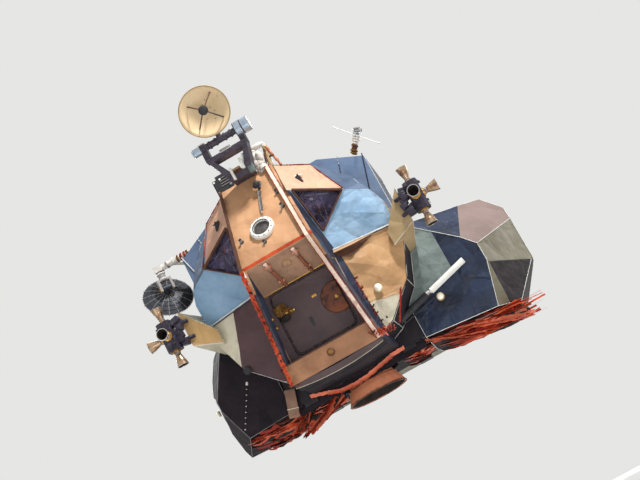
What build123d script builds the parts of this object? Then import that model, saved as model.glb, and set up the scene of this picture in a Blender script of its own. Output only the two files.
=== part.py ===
from build123d import *
import math
import os

os.makedirs("parts", exist_ok=True)

# Ascent stage of a lunar module. Origin: centre of the plane of the four interstage fittings.
# +Z is up through the docking tunnel, the front face looks along -Y, and +X is the port side.
# The real craft is drawn in inches, so tables are in inches and at() turns them into millimetres.
IN = 25.4
SIDES = (1, -1)

# Driving dimensions of the pressure shell and the bays
WALL = 2.0 * IN
PLATE = 0.8 * IN
CABIN_R = 51.0 * IN
CABIN_AXIS_Z = 54.0 * IN
CABIN_SIDES = 16
CABIN_FLOOR_Z = 11.0 * IN
BULKHEAD_Y = -30.0 * IN
MID_BACK_Y = 27.0 * IN
AFT_BACK_Y = 62.0 * IN
DECK_TOP_Z = 106.0 * IN
SEAM_Z = 51.5
FITTING_SPACING = 54.0 * IN
FITTING_HOLE_R = 8.0

# Driving dimensions of the hatches, the engine and the thrusters
HATCH_SIZE = 32.0 * IN
HATCH_MID_Z = 31.0 * IN
HATCH_Y = -70.0 * IN
HATCH_T = 2.0 * IN
HATCH_GAP = 0.3 * IN
TUNNEL_BORE_R = 16.0 * IN
TUNNEL_R = 18.5 * IN
TUNNEL_TOP_Z = 115.0 * IN
BELL_EXIT_R = 15.7 * IN
BELL_EXIT_Z = -7.0 * IN
BELL_THROAT_Z = 13.0 * IN
QUAD_X = 66.1 * IN
QUAD_Y = 66.1 * IN
QUAD_Z = 54.3 * IN
JET_LENGTH = 7.5 * IN
JET_EXIT_R = 2.8 * IN

# Driving dimensions of the two dish antennas
RADAR_R = 12.0 * IN
RADAR_DEPTH = 3.0 * IN
RADAR_SHAFT = (0, -78, 122)
RADAR_PITCH = 15.6
RADAR_YAW = 6.0
TRUNNION_LIFT = 14.2 * IN
STEER_R = 13.0 * IN
STEER_DEPTH = 3.2 * IN
STEER_PIVOT = (-67, -24, 89)
STEER_HEADING = (-0.5, 0.866, 0)
STEER_PITCH = -25.0
DISH_SKIN = 0.5 * IN
PIN_R = 12.0
PIN_PLAY = 0.3


def at(x, y, z):
    """Point given in inches, in millimetres."""
    return Vector(x * IN, y * IN, z * IN)


def facet(corners, inside, inset=0.0):
    """Plane of three corners that faces away from the inside point, moved in by the inset."""
    a, b, c = corners
    normal = (b - a).cross(c - a).normalized()
    if normal.dot(a - inside) < 0:
        normal = normal * -1
    return Plane(origin=a - normal * inset, z_dir=normal)


def mirrored(corners):
    """The same corners on the starboard side."""
    return [Vector(-p.X, p.Y, p.Z) for p in corners]


def block(corner, opposite):
    """Plain block between two opposite corners, in millimetres."""
    size = opposite - corner
    with BuildPart() as piece:
        with Locations((corner + opposite) * 0.5):
            Box(abs(size.X), abs(size.Y), abs(size.Z))
    return piece.part


def trimmed(body, planes):
    """Body cut back to what lies behind each plane."""
    with BuildPart() as piece:
        add(body)
        for plane in planes:
            split(bisect_by=plane, keep=Keep.BOTTOM)
    return piece.part


def cut(body, *tools):
    """Body less the tools."""
    with BuildPart() as piece:
        add(body)
        for tool in tools:
            add(tool, mode=Mode.SUBTRACT)
    return piece.part


def shared(body, tool):
    """What the body and the tool have in common."""
    with BuildPart() as piece:
        add(body)
        add(tool, mode=Mode.INTERSECT)
    return piece.part


def joined(*bodies):
    """Bodies in one part."""
    with BuildPart() as piece:
        for body in bodies:
            add(body)
    return piece.part


def panel(corners, inside, thickness):
    """Flat panel with its outer corners where given, thickened towards the inside point."""
    plane = facet(corners[:3], inside)
    with BuildPart() as piece:
        with BuildSketch(plane):
            with BuildLine():
                Polyline(*[plane.to_local_coords(p) for p in corners], close=True)
            make_face()
        extrude(amount=-thickness)
    return piece.part


def side_profile(points, half_width):
    """Prism drawn from the side by its y and z in inches."""
    with BuildPart() as prism:
        with BuildSketch(Plane.YZ):
            with BuildLine():
                Polyline(*[(y * IN, z * IN) for y, z in points], close=True)
            make_face()
        extrude(amount=half_width, both=True)
    return prism.part


def front_profile(points, y_front, y_back, inset=0.0):
    """Prism along Y from an outline of x and z in inches, drawn in by the inset."""
    with BuildPart() as prism:
        with BuildSketch(Plane.XZ.offset(-y_front)):
            with BuildLine():
                Polyline(*[(x * IN, z * IN) for x, z in points], close=True)
            make_face()
            if inset:
                offset(amount=-inset, kind=Kind.INTERSECTION)
        extrude(amount=y_front - y_back)
    return prism.part


def tube(start, end, radius, bore=0.0):
    """Round bar or tube from one point to another."""
    along = end - start
    with BuildPart() as piece:
        with BuildSketch(Plane(origin=start, z_dir=along.normalized())):
            Circle(radius)
            if bore:
                Circle(bore, mode=Mode.SUBTRACT)
        extrude(amount=along.length)
    return piece.part


def turned(plane, points):
    """Body turned about the plane's normal from a profile of radius and height, in millimetres."""
    drawing = Plane(origin=plane.origin, x_dir=plane.x_dir, z_dir=plane.y_dir * -1)
    with BuildPart() as piece:
        with BuildSketch(drawing):
            with BuildLine():
                Polyline(*points, close=True)
            make_face()
        revolve(axis=Axis(plane.origin, plane.z_dir))
    return piece.part


def dish(plane, radius, depth, skin):
    """Round dish with an arc profile, its rim forward of its middle by the depth."""
    ball_r = (radius * radius + depth * depth) / (2 * depth)
    hollow_r = ball_r - skin
    rim_in = math.sqrt(hollow_r ** 2 - (ball_r - depth) ** 2)
    drawing = Plane(origin=plane.origin, x_dir=plane.x_dir, z_dir=plane.y_dir * -1)
    with BuildPart() as bowl:
        with BuildSketch(drawing):
            with BuildLine():
                CenterArc((0, ball_r), ball_r, -90, math.degrees(math.asin(radius / ball_r)))
                Line((radius, depth), (rim_in, depth))
                CenterArc((0, ball_r), hollow_r, -90, math.degrees(math.asin(rim_in / hollow_r)))
                Line((0, skin), (0, 0))
            make_face()
        revolve(axis=Axis(plane.origin, plane.z_dir))
    return bowl.part


def save(body, name):
    """Label a finished piece and write it."""
    body.label = name
    export_step(body, f"parts/{name}.step")


# Front cabin: a faceted barrel whose front is trimmed to canted panels, above and below a level seam
CABIN_HEART = at(0, -45, 54)
NOSE_HEART = at(0, -60, 60)
WINDOW_CORNERS = [at(17.0, -73.5, 84.7), at(37.6, -63.2, 75.5), at(20.4, -66.9, 60.9)]
BROW = [at(17.0, -73.5, 84.7), at(37.6, -63.2, 75.5), at(16.7, -58.0, 104.5)]
CHEEK = [at(20.0, -65.1, 52.0), at(50.0, -53.1, 52.0), at(24.0, -64.5, 22.0)]
CHIN = [at(24.0, -64.5, 22.0), at(39.0, -59.0, 22.0), at(27.0, -60.0, 6.0)]
# Columns: lowest and highest level in inches, and the facets between them
FRONT_LEVELS = [
    (SEAM_Z, 120, [WINDOW_CORNERS, BROW]),
    (-10, SEAM_Z, [CHEEK, CHIN]),
]


def cabin_solid(inset, front_inset):
    """Cabin barrel with its canted front, the sides and the front faces moved in by the insets."""
    with BuildPart() as barrel:
        with BuildSketch(Plane.XZ.offset(-BULKHEAD_Y)):
            with Locations((0, CABIN_AXIS_Z)):
                RegularPolygon(CABIN_R - inset, CABIN_SIDES, major_radius=False, rotation=180 / CABIN_SIDES)
        extrude(amount=50 * IN)
    levels = []
    for low, high, facets in FRONT_LEVELS:
        planes = []
        for corners in facets:
            planes.append(facet(corners, CABIN_HEART, front_inset))
            planes.append(facet(mirrored(corners), CABIN_HEART, front_inset))
        level = shared(barrel.part, block(at(-60, -100, low), at(60, -20, high)))
        levels.append(trimmed(level, planes))
    return joined(*levels)


# Nose column between the two face rails, seen from the side as y and z, and its leaning side walls
NOSE_TOP = (-62, 104.5)
NOSE_LIP = (-86, 58)
NOSE_FOOT = (-77, 3.5)
RECESS_PROFILE = [(-95, 62), (-86.5, 58), (-70, 46.8), (-70, 12.8), (-95, 12.8)]
RECESS_BACKING = [(-68, 49), (-68, 10), (-95, 10), (-95, 62), (-86.5, 60.5)]
COLUMN_SIDE = [at(23.6, -70, 0), at(23.6, -40, 0), at(13.8, -70, 104.5)]
COLUMN_LOW = at(-40, -100, 3.5)
COLUMN_HIGH = at(40, -30, 104.5)


def column_sides(inset):
    """Planes of the nose column's two side walls."""
    return [facet(COLUMN_SIDE, NOSE_HEART, inset), facet(mirrored(COLUMN_SIDE), NOSE_HEART, inset)]


def column_fronts(inset):
    """Planes of the nose panel and of the face below its lip."""
    pairs = [(NOSE_TOP, NOSE_LIP), (NOSE_LIP, NOSE_FOOT)]
    return [facet([at(-10, *upper), at(10, *upper), at(0, *lower)], NOSE_HEART, inset) for upper, lower in pairs]


def column_solid(inset):
    """Nose column, every face moved in by the inset."""
    lift = Vector(0, 0, inset)
    return trimmed(block(COLUMN_LOW + lift, COLUMN_HIGH - lift), column_sides(inset) + column_fronts(inset))


def cabin_beside_nose(inset):
    """Cabin without the wedge that would stand out through the nose column's front."""
    zone = trimmed(block(at(-40, -100, -10), at(40, -58, 120)), column_sides(0))
    return cut(cabin_solid(inset, inset), cut(zone, trimmed(zone, column_fronts(inset))))


def window_prism(scale):
    """Triangular prism through the port window, its corners drawn in to a scale of the outline."""
    middle = (WINDOW_CORNERS[0] + WINDOW_CORNERS[1] + WINDOW_CORNERS[2]) * (1 / 3)
    plane = facet(WINDOW_CORNERS, CABIN_HEART)
    with BuildPart() as prism:
        with BuildSketch(plane):
            with BuildLine():
                points = [plane.to_local_coords(middle + (p - middle) * scale) for p in WINDOW_CORNERS]
                Polyline(*points, close=True)
            make_face()
            fillet(vertices(), 1.2 * IN)
        extrude(amount=6 * IN, both=True)
    return prism.part


RECESS_EDGE = 1.8 * IN
recess_walls = [
    facet([p - Vector(RECESS_EDGE, 0, 0) for p in COLUMN_SIDE], NOSE_HEART),
    facet([p + Vector(RECESS_EDGE, 0, 0) for p in mirrored(COLUMN_SIDE)], NOSE_HEART),
]
recess = trimmed(side_profile(RECESS_PROFILE, 30 * IN), recess_walls)
outer = joined(cabin_beside_nose(0), column_solid(0))
void = joined(cabin_beside_nose(WALL), cut(column_solid(WALL), side_profile(RECESS_BACKING, 30 * IN)))
with BuildPart() as hatch_way:
    with BuildSketch(Plane.XZ.offset(78 * IN)):
        with Locations((0, HATCH_MID_Z)):
            RectangleRounded(HATCH_SIZE, HATCH_SIZE, 3.2 * IN)
    extrude(amount=-18 * IN)
window_port = window_prism(1.0)
shell = cut(outer, recess, void, hatch_way.part, window_port, window_port.mirror(Plane.YZ))

# Overhead docking window, in the second facet of the barrel on the port side
FACET_TURN = 360 / CABIN_SIDES
facet_up = Vector(math.sin(math.radians(FACET_TURN)), 0, math.cos(math.radians(FACET_TURN)))
roof_plane = Plane(origin=at(0, -46, 54) + facet_up * CABIN_R, x_dir=(0, 1, 0), z_dir=facet_up)


def roof_window(margin, top, bottom):
    """Block through the docking window, its sides in by the margin, between two depths."""
    with BuildPart() as prism:
        with BuildSketch(roof_plane.offset(top)):
            RectangleRounded(12 * IN - 2 * margin, 5 * IN - 2 * margin, 0.8 * IN)
        extrude(amount=bottom - top)
    return prism.part


# The shell splits where the real panels meet
column_zone = trimmed(block(at(-40, -100, -10), at(40, -30, 120)), column_sides(0))
column = shared(shell, column_zone)
sides = cut(shell, column_zone)
behind_front = cabin_solid(0, WALL)
save(cut(shared(sides, behind_front), roof_window(0, IN, -4 * IN)), "cabin_barrel")
flanks = cut(sides, behind_front)
# Columns: name, lowest and highest level in inches
PANEL_LEVELS = [
    ("chin_panel", -10.0, 12.8),
    ("hatch_surround", 12.8, 46.8),
    ("nose_panel", 46.8, 120.0),
]
for name, low, high in PANEL_LEVELS:
    save(shared(column, block(at(-60, -100, low), at(60, -20, high))), name)
for name, low, high in [("window_panels", SEAM_Z, 120), ("cheek_panels", -10, SEAM_Z)]:
    save(shared(flanks, block(at(-60, -100, low), at(60, -20, high))), name)

# Inside the cabin: the floor, and the instrument panel that shows through the windows
floor_slab = block(Vector(-40 * IN, -64 * IN, CABIN_FLOOR_Z - PLATE), Vector(40 * IN, BULKHEAD_Y, CABIN_FLOOR_Z))
save(shared(floor_slab, void), "cabin_floor")
PANEL_PROFILE = [(-68, 48.5), (-62, 49.6), (-60.8, 68), (-66, 75), (-70, 75), (-70, 49)]
save(cut(side_profile(PANEL_PROFILE, 13.6 * IN), shell), "instrument_panel")

# Middle section behind the bulkhead: an eight-sided ring of plates between two bulkheads
MID_OUTLINE = [(-31, 106), (31, 106), (52.5, 95.5), (52.5, 24), (37, 2), (-37, 2), (-52.5, 24), (-52.5, 95.5)]
middle_outer = front_profile(MID_OUTLINE, BULKHEAD_Y, MID_BACK_Y)
ring = cut(
    front_profile(MID_OUTLINE, BULKHEAD_Y + WALL, MID_BACK_Y - WALL),
    front_profile(MID_OUTLINE, BULKHEAD_Y, MID_BACK_Y, WALL),
    tube(at(0, 0, 90), at(0, 0, 125), TUNNEL_BORE_R + HATCH_GAP),
    tube(at(0, 0, -5), at(0, 0, 12), BELL_EXIT_R),
)
# Columns: name, lowest and highest level in inches
RING_LEVELS = [
    ("midsection_deck", 95.5, 120),
    ("midsection_walls", 24, 95.5),
    ("midsection_floor", -10, 24),
]
for name, low, high in RING_LEVELS:
    save(shared(ring, block(at(-60, -40, low), at(60, 40, high))), name)
doorway = block(at(-26, -35, 15), at(26, -25, 80))
save(cut(front_profile(MID_OUTLINE, BULKHEAD_Y, BULKHEAD_Y + WALL), doorway), "forward_bulkhead")
save(front_profile(MID_OUTLINE, MID_BACK_Y - WALL, MID_BACK_Y), "aft_bulkhead")

# Aft bay with the equipment boxes on the cold rails across its back
AFT_OUTLINE = [(-40, 99), (40, 99), (49, 88), (49, 22), (38, 5), (-38, 5), (-49, 22), (-49, 88)]
RACK_COLUMNS = 4
RACK_ROWS = 3
RACK_PITCH = 20.0 * IN
ROW_PITCH = 24.0 * IN
aft_outer = front_profile(AFT_OUTLINE, MID_BACK_Y, AFT_BACK_Y)
save(aft_outer, "aft_bay")
with BuildPart() as rack:
    with BuildSketch(Plane.XZ.offset(-AFT_BACK_Y)):
        with Locations((0, 52 * IN)):
            with GridLocations(RACK_PITCH, ROW_PITCH, RACK_COLUMNS, RACK_ROWS):
                Rectangle(17 * IN, 21 * IN)
    extrude(amount=-3.5 * IN)
    box_edges = rack.edges().filter_by(Axis.Y)
    chamfer(box_edges, 0.8 * IN)
    with BuildSketch(Plane.XZ.offset(-AFT_BACK_Y)):
        with Locations((0, 52 * IN)):
            with GridLocations(RACK_PITCH, ROW_PITCH, RACK_COLUMNS + 1, 1):
                Rectangle(1.6 * IN, 72 * IN)
    extrude(amount=-2 * IN)
save(rack.part, "aft_equipment")

# Tank bays, each a block trimmed to its flat thermal panels, alike at the front and back
PORT_BAY = (at(36.5, -32, -6), at(99.6, 32, 54.5))
STARBOARD_BAY = (at(-73.6, -32, -5), at(-36.5, 32, 50))
PORT_FACETS = [
    ("upper front", [at(54.6, -32, 52.3), at(74, -32, 34.9), at(79.7, -12, 53)]),
    ("shoulder", [at(79.3, -32, 28.6), at(98.2, -8, 36.2), at(79.7, -12, 53)]),
    ("outer upper", [at(79.3, -32, 28.6), at(98.2, -8, 36.2), at(98.5, -8, 13.5)]),
    ("outer lower", [at(80, -32, 21.6), at(98.5, -8, 13.5), at(78.8, -28, -4.5)]),
    ("bilge", [at(98.5, -8, 13.5), at(98.5, 8, 13.5), at(83, -20, -5.5)]),
    ("corner", [at(80, -32, 21.6), at(73.2, -32, -3), at(78.8, -28, -4.5)]),
    ("keel", [at(37, -32, 1), at(74.6, -32, -2.8), at(60, 0, -4)]),
]
STARBOARD_FACETS = [
    ("upper front", [at(-54, -32, 48), at(-67, -32, 25), at(-73.5, -12, 30)]),
    ("outer", [at(-68, -32, 22), at(-73.5, -12, 30), at(-73, -12, 10)]),
    ("lower", [at(-68, -32, 18), at(-62, -32, 2), at(-72, -12, 8)]),
    ("keel", [at(-37, -32, 1), at(-60, -32, 0), at(-50, 0, -3)]),
]


def tank_bay(bounds, facets, heart):
    """Closed tank bay trimmed by its facets, the back ones mirrored from the front."""
    planes = []
    for name, corners in facets:
        planes.append(facet(corners, heart))
        planes.append(facet([Vector(p.X, -p.Y, p.Z) for p in corners], heart))
    return cut(trimmed(block(*bounds), planes), middle_outer, outer, aft_outer)


port_bay = tank_bay(PORT_BAY, PORT_FACETS, at(71, 0, 24))
starboard_bay = tank_bay(STARBOARD_BAY, STARBOARD_FACETS, at(-45, 0, 24))
save(port_bay, "port_tank_bay")
save(starboard_bay, "starboard_tank_bay")

# Docking tunnel with its ring, the inward-opening hatch below it, and the target plate on the deck
RING_LIP = 1.5 * IN
RING_T = 2.0 * IN
with BuildPart() as tunnel:
    with BuildSketch(Plane.XY.offset(DECK_TOP_Z)):
        Circle(TUNNEL_R)
        Circle(TUNNEL_BORE_R, mode=Mode.SUBTRACT)
    extrude(amount=TUNNEL_TOP_Z - DECK_TOP_Z)
    with BuildSketch(Plane.XY.offset(TUNNEL_TOP_Z - RING_T)):
        Circle(TUNNEL_R + RING_LIP)
        Circle(TUNNEL_BORE_R, mode=Mode.SUBTRACT)
    extrude(amount=RING_T)
save(tunnel.part, "docking_tunnel")
TOP_HATCH_R = 17.0 * IN
TOP_HATCH_Z = DECK_TOP_Z - WALL - 0.25 * IN
TOP_HINGE = Vector(-(TOP_HATCH_R + 1.0 * IN), 0, TOP_HATCH_Z - 1.0 * IN)
KNUCKLE_R = 0.8 * IN
KNUCKLE_GAP = 0.3 * IN
top_barrel = tube(TOP_HINGE - at(0, 4, 0), TOP_HINGE + at(0, 4, 0), KNUCKLE_R)
with BuildPart() as top_hatch:
    with BuildSketch(Plane.XY.offset(TOP_HATCH_Z)):
        Circle(TOP_HATCH_R)
        with Locations((TOP_HINGE.X * 0.5, 0)):
            Rectangle(-TOP_HINGE.X, 8 * IN)
    extrude(amount=-2 * IN)
    add(top_barrel)
with BuildPart() as target:
    with Locations(at(-26.5, -21, 106.8)):
        Cylinder(0.7 * IN, 1.6 * IN)
    with Locations(at(-26.5, -21, 107.8)):
        Cylinder(3.6 * IN, 0.5 * IN)
    with Locations(at(-26.5, -21, 110)):
        Cylinder(0.25 * IN, 4.5 * IN)
save(top_hatch.part, "overhead_hatch")
save(target.part, "docking_target")
top_knuckles = []
for end in SIDES:
    near = TOP_HINGE + Vector(0, end * (4 * IN + KNUCKLE_GAP), 0)
    far = near + Vector(0, end * 1.6 * IN, 0)
    top_knuckles.append(tube(near, far, KNUCKLE_R))
    top_knuckles.append(block(near - Vector(KNUCKLE_R, 0, 0), far + Vector(KNUCKLE_R, 0, DECK_TOP_Z - WALL - TOP_HINGE.Z)))
save(joined(*top_knuckles), "overhead_hinges")

# Ascent engine: a plain block in the middle section and the bell below it, its wall of even thickness
# Columns: radius and height in inches, from the throat to the exit
BELL_LINE = [(4.0, 13.0), (5.4, 10.5), (8.6, 6.5), (11.6, 2.0), (14.0, -2.6), (15.7, -7.0)]
BELL_WALL = 0.6
outside = [(r * IN, z * IN) for r, z in BELL_LINE]
inside = [((r - BELL_WALL) * IN, z * IN) for r, z in reversed(BELL_LINE)]
save(turned(Plane.XY, outside + inside), "engine_bell")
save(tube(at(0, 0, 13), at(0, 0, 36), 14 * IN), "engine_block")

# Interstage fittings, one bolt hole in each
with BuildPart() as fittings:
    with GridLocations(FITTING_SPACING, FITTING_SPACING, 2, 2):
        with Locations((0, 0, 1.0 * IN)):
            Box(7 * IN, 7 * IN, 2 * IN)
        Cylinder(FITTING_HOLE_R, 8 * IN, mode=Mode.SUBTRACT)
save(fittings.part, "interstage_fittings")

# Thruster quads: fairing, arm, housing and four jets at each corner
# Columns: name, side along X and end along Y
QUADS = [("port front", 1, -1), ("starboard front", -1, -1), ("port aft", 1, 1), ("starboard aft", -1, 1)]
HOUSING_HALF = at(3.4, 3.4, 7.4)
ARM_LIFTS = (-4 * IN, 4 * IN)
# Columns: radius and share of the jet's length, out along the wall and back inside it
JET_LINE = [(1.7, 0), (1.7, 0.12), (1.15, 0.2), (1.7, 0.42), (2.4, 0.72), (2.8, 1), (2.55, 1), (0.9, 0.25), (0, 0.25), (0, 0)]


def jet(base, along):
    """One thruster bell from its collar on the housing to its mouth."""
    points = [(r * IN, share * JET_LENGTH) for r, share in JET_LINE]
    return turned(Plane(origin=base, z_dir=along), points)


def fairing(side, end):
    """Closed fairing that tapers from the quad's arm back into the side of the craft."""
    heart = at(side * 52, end * 45, 54)
    corners = [
        [at(side * 59, end * 62, 64), at(side * 50, end * 60, 53), at(side * 50, end * 24, 60)],
        [at(side * 59, end * 62, 46), at(side * 48.5, end * 60, 42), at(side * 50, end * 24, 40)],
        [at(side * 59, end * 62, 64), at(side * 59, end * 62, 46), at(side * 52, end * 24, 50)],
        [at(side * 59, end * 62, 64), at(side * 59, end * 62, 46), at(side * 49, end * 60, 50)],
    ]
    rough = block(at(side * 46, end * 24, 38), at(side * 59.5, end * 66, 68))
    body = trimmed(rough, [facet(three, heart) for three in corners])
    return cut(body, middle_outer, outer, aft_outer, port_bay, starboard_bay)


housings = []
jets = []
fairings = []
arms = []
for name, side, end in QUADS:
    hub = Vector(side * QUAD_X, end * QUAD_Y, QUAD_Z)
    with BuildPart() as housing:
        add(block(hub - HOUSING_HALF, hub + HOUSING_HALF))
        chamfer(housing.edges().filter_by(Axis.Z), 1.2 * IN)
    housings.append(housing.part)
    fairings.append(fairing(side, end))
    inner = hub + at(-side * 10, -end * 4.5, 0)
    for height in ARM_LIFTS:
        lift = Vector(0, 0, height)
        arms.append(tube(hub + at(-side * 2, 0, 0) + lift, inner + lift, 0.9 * IN))
    # Columns: direction, and how far the housing's face is that way
    for along, reach in [
        (Vector(0, 0, 1), HOUSING_HALF.Z),
        (Vector(0, 0, -1), HOUSING_HALF.Z),
        (Vector(side, 0, 0), HOUSING_HALF.X),
        (Vector(0, end, 0), HOUSING_HALF.Y),
    ]:
        jets.append(jet(hub + along * reach, along))
all_housings = joined(*housings)
all_fairings = joined(*fairings)
save(all_housings, "thruster_housings")
save(joined(*jets), "thruster_jets")
save(all_fairings, "thruster_fairings")
save(cut(joined(*arms), all_housings, all_fairings), "thruster_arms")

# Forward hatch, hinged inside its starboard edge, with its valve and the round vent cover
HATCH_AXIS = at(-16.6, -66.6, 31)
HINGE_LIFTS = (-9 * IN, 9 * IN)
LEAF_HALF = 1.2 * IN
with BuildPart() as hatch:
    with BuildSketch(Plane.XZ.offset(-HATCH_Y)):
        with Locations((0, HATCH_MID_Z)):
            RectangleRounded(HATCH_SIZE - 2 * HATCH_GAP, HATCH_SIZE - 2 * HATCH_GAP, 3 * IN)
    extrude(amount=-HATCH_T)
    for lift in HINGE_LIFTS:
        strap = HATCH_AXIS + Vector(0, 0, lift)
        add(tube(strap - Vector(0, 0, LEAF_HALF), strap + Vector(0, 0, LEAF_HALF), KNUCKLE_R))
        add(block(strap + at(0, -0.5, -1.2), strap + at(6, 0.5, 1.2)))
        add(block(strap + at(2.4, -1.6, -1.2), strap + at(6, 0, 1.2)))
save(hatch.part, "forward_hatch")
knuckles = []
for lift in HINGE_LIFTS:
    for end in SIDES:
        near = HATCH_AXIS + Vector(0, 0, lift + end * (LEAF_HALF + KNUCKLE_GAP))
        far = near + Vector(0, 0, end * 1.2 * IN)
        knuckles.append(tube(near, far, KNUCKLE_R))
        knuckles.append(block(near + at(-0.8, -1.4, 0), far + at(0.4, 0, 0)))
save(cut(joined(*knuckles), shell), "hatch_hinges")
with BuildPart() as valve:
    with BuildSketch(Plane.XZ.offset(-HATCH_Y)):
        with Locations(Vector(-13.2 * IN, 36.8 * IN)):
            Circle(2.2 * IN)
    extrude(amount=2.2 * IN)
    with BuildSketch(Plane.XZ.offset(-HATCH_Y + 1.0 * IN)):
        with Locations(Vector(-11 * IN, 35.5 * IN)):
            Rectangle(5.5 * IN, 1.4 * IN, rotation=-25)
    extrude(amount=1.0 * IN)
save(valve.part, "hatch_valve")
VENT_MIDDLE = Vector(12.6 * IN, 31.0 * IN)
with BuildPart() as vent:
    with BuildSketch(Plane.XZ.offset(-HATCH_Y)):
        with Locations(VENT_MIDDLE):
            Circle(7.6 * IN)
        with Locations((0, HATCH_MID_Z)):
            Rectangle(HATCH_SIZE - 3 * HATCH_GAP, HATCH_SIZE, mode=Mode.INTERSECT)
    extrude(amount=0.6 * IN)
    chamfer(vent.faces().sort_by(Axis.Y)[0].edges(), 0.4 * IN)
save(vent.part, "hatch_vent_cover")

# Two pipes across the slope above the hatch
# Columns: x at the lip and at the hatch, in inches
PIPES = [(-7.6, -5.2), (6.8, 8.2)]
slope = (at(0, -70, 46.8) - at(0, -86.5, 58)).normalized()
slope_out = Vector(0, slope.Z, -slope.Y)
PIPE_R = 0.9 * IN
pipes = []
for top_x, bottom_x in PIPES:
    start = at(top_x, -86.5, 58) + slope * 1.5 * IN + slope_out * PIPE_R
    end = at(bottom_x, -70, 46.8) - slope * 1.5 * IN + slope_out * PIPE_R
    pipes.append(tube(start, end, PIPE_R))
save(cut(joined(*pipes), shell), "recess_pipes")

# Window panes, set in half way through the panel, and the docking window's pane
clear_window = window_prism(0.985)
PANE_NEAR = 0.6 * IN
PANE_FAR = 1.2 * IN
with BuildPart() as pane:
    add(trimmed(block(at(5, -85, 50), at(48, -50, 95)), [facet(WINDOW_CORNERS, CABIN_HEART, PANE_NEAR)]))
    split(bisect_by=facet(WINDOW_CORNERS, CABIN_HEART, PANE_FAR), keep=Keep.TOP)
    add(clear_window, mode=Mode.INTERSECT)
panes = [pane.part, pane.part.mirror(Plane.YZ)]
panes.append(roof_window(0.1 * IN, -PANE_NEAR, -PANE_FAR))
save(joined(*panes), "window_panes")

# Rails down both edges of the nose column
RAIL_W = 1.5 * IN
RAIL_T = 0.5 * IN
RAIL_KINKS = [at(13.9, *NOSE_TOP), at(18.2, *NOSE_LIP), at(23.3, *NOSE_FOOT)]
rails = []
for side in SIDES:
    for top, bottom in zip(RAIL_KINKS, RAIL_KINKS[1:]):
        ends = [Vector(side * p.X, p.Y, p.Z) for p in (top, bottom)]
        inward = Vector(-side * RAIL_W, 0, 0)
        strip = [ends[0], ends[1], ends[1] + inward, ends[0] + inward]
        lift = facet(strip[:3], NOSE_HEART).z_dir * RAIL_T
        rails.append(panel([p + lift for p in strip], NOSE_HEART, RAIL_T))
save(cut(joined(*rails), outer), "face_rails")

# Tracking light on the nose, held square to the nose panel
nose_plane = facet([at(-10, *NOSE_TOP), at(10, *NOSE_TOP), at(0, *NOSE_LIP)], NOSE_HEART)
LIGHT_X = -2.0
LIGHT_Z = 73.5
LENS_R = 4.0 * IN
lean = (LIGHT_Z - NOSE_LIP[1]) / (NOSE_TOP[1] - NOSE_LIP[1])
light_y = NOSE_LIP[0] + lean * (NOSE_TOP[0] - NOSE_LIP[0])
light_plane = Plane(origin=at(LIGHT_X, light_y, LIGHT_Z), z_dir=nose_plane.z_dir)
light_line = [(LENS_R, 0), (6.0 * IN, 0), (6.0 * IN, 1.6 * IN), (5.3 * IN, 2.2 * IN), (LENS_R, 2.2 * IN)]
save(cut(turned(light_plane, light_line), outer), "tracking_light")
save(turned(light_plane, [(0, 0), (LENS_R, 0), (LENS_R, 1.0 * IN), (0, 1.4 * IN)]), "tracking_light_lens")

# Rendezvous radar: pedestal and fork on the nose, shaft body, and the tilting dish
shaft_point = at(*RADAR_SHAFT)
tilt = Plane(origin=shaft_point, x_dir=(1, 0, 0), z_dir=Vector(0, 0, 1).rotate(Axis.X, RADAR_PITCH))
FORK_X = 9.5 * IN
with BuildPart() as pedestal:
    with BuildSketch(Plane.XY.offset(103.5 * IN)):
        with Locations((0, -66 * IN)):
            Rectangle(11 * IN, 8 * IN)
    with BuildSketch(Plane.XY.offset(116 * IN)):
        with Locations((0, -76 * IN)):
            Rectangle(22 * IN, 6 * IN)
    loft()
    add(front_profile([(-3.2, 106.5), (3.2, 106.5), (7.6, 114), (-7.6, 114)], -90 * IN, -50 * IN), mode=Mode.SUBTRACT)
    for side in SIDES:
        with Locations(Vector(side * FORK_X, shaft_point.Y + 2 * IN, 119.5 * IN)):
            Box(3 * IN, 5 * IN, 9 * IN)
port_motor = tube(shaft_point + at(8, 0, 0), shaft_point + at(15.5, 0, 0), 3.6 * IN)
starboard_cap = tube(shaft_point + at(-14, 0, 0), shaft_point + at(-8, 0, 0), 2.0 * IN)
save(joined(cut(pedestal.part, outer), port_motor, starboard_cap), "radar_pedestal")
save(cut(block(at(-13.5, -62, 100), at(-6.5, -54, 113)), outer, pedestal.part), "radar_box")
# Columns: foot and head of each strut of the bracket beside the radar, in inches
BRACKET = [
    ((9.9, -63, 103.5), (7.8, -60, 116.2)),
    ((13.2, -61, 103.5), (14.4, -60, 116.2)),
    ((12.6, -54, 103.8), (14.4, -60, 116.2)),
    ((7.8, -60, 116.2), (14.4, -60, 116.2)),
]
struts = [tube(at(*foot), at(*head), 0.9 * IN) for foot, head in BRACKET]
save(cut(joined(*struts), outer, pedestal.part), "radar_bracket")
BEARING_R = 2.6 * IN
dish_middle = shaft_point + tilt.z_dir * TRUNNION_LIFT
post_top = dish_middle - tilt.z_dir * (BEARING_R + 6.0)
forward = Vector(0, -1, 0).rotate(Axis.X, RADAR_PITCH)
with BuildPart() as drum:
    add(tube(shaft_point + at(-7.6, 0, 0), shaft_point + at(7.6, 0, 0), 1.6 * IN))
    add(tube(shaft_point, post_top, 1.3 * IN))
    add(tube(post_top, post_top + tilt.z_dir * 40, PIN_R))
save(drum.part, "radar_shaft")
aim = forward.rotate(Axis((0, 0, 0), tilt.z_dir), RADAR_YAW)
dish_back = dish_middle + aim * 2.0 * IN
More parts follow.
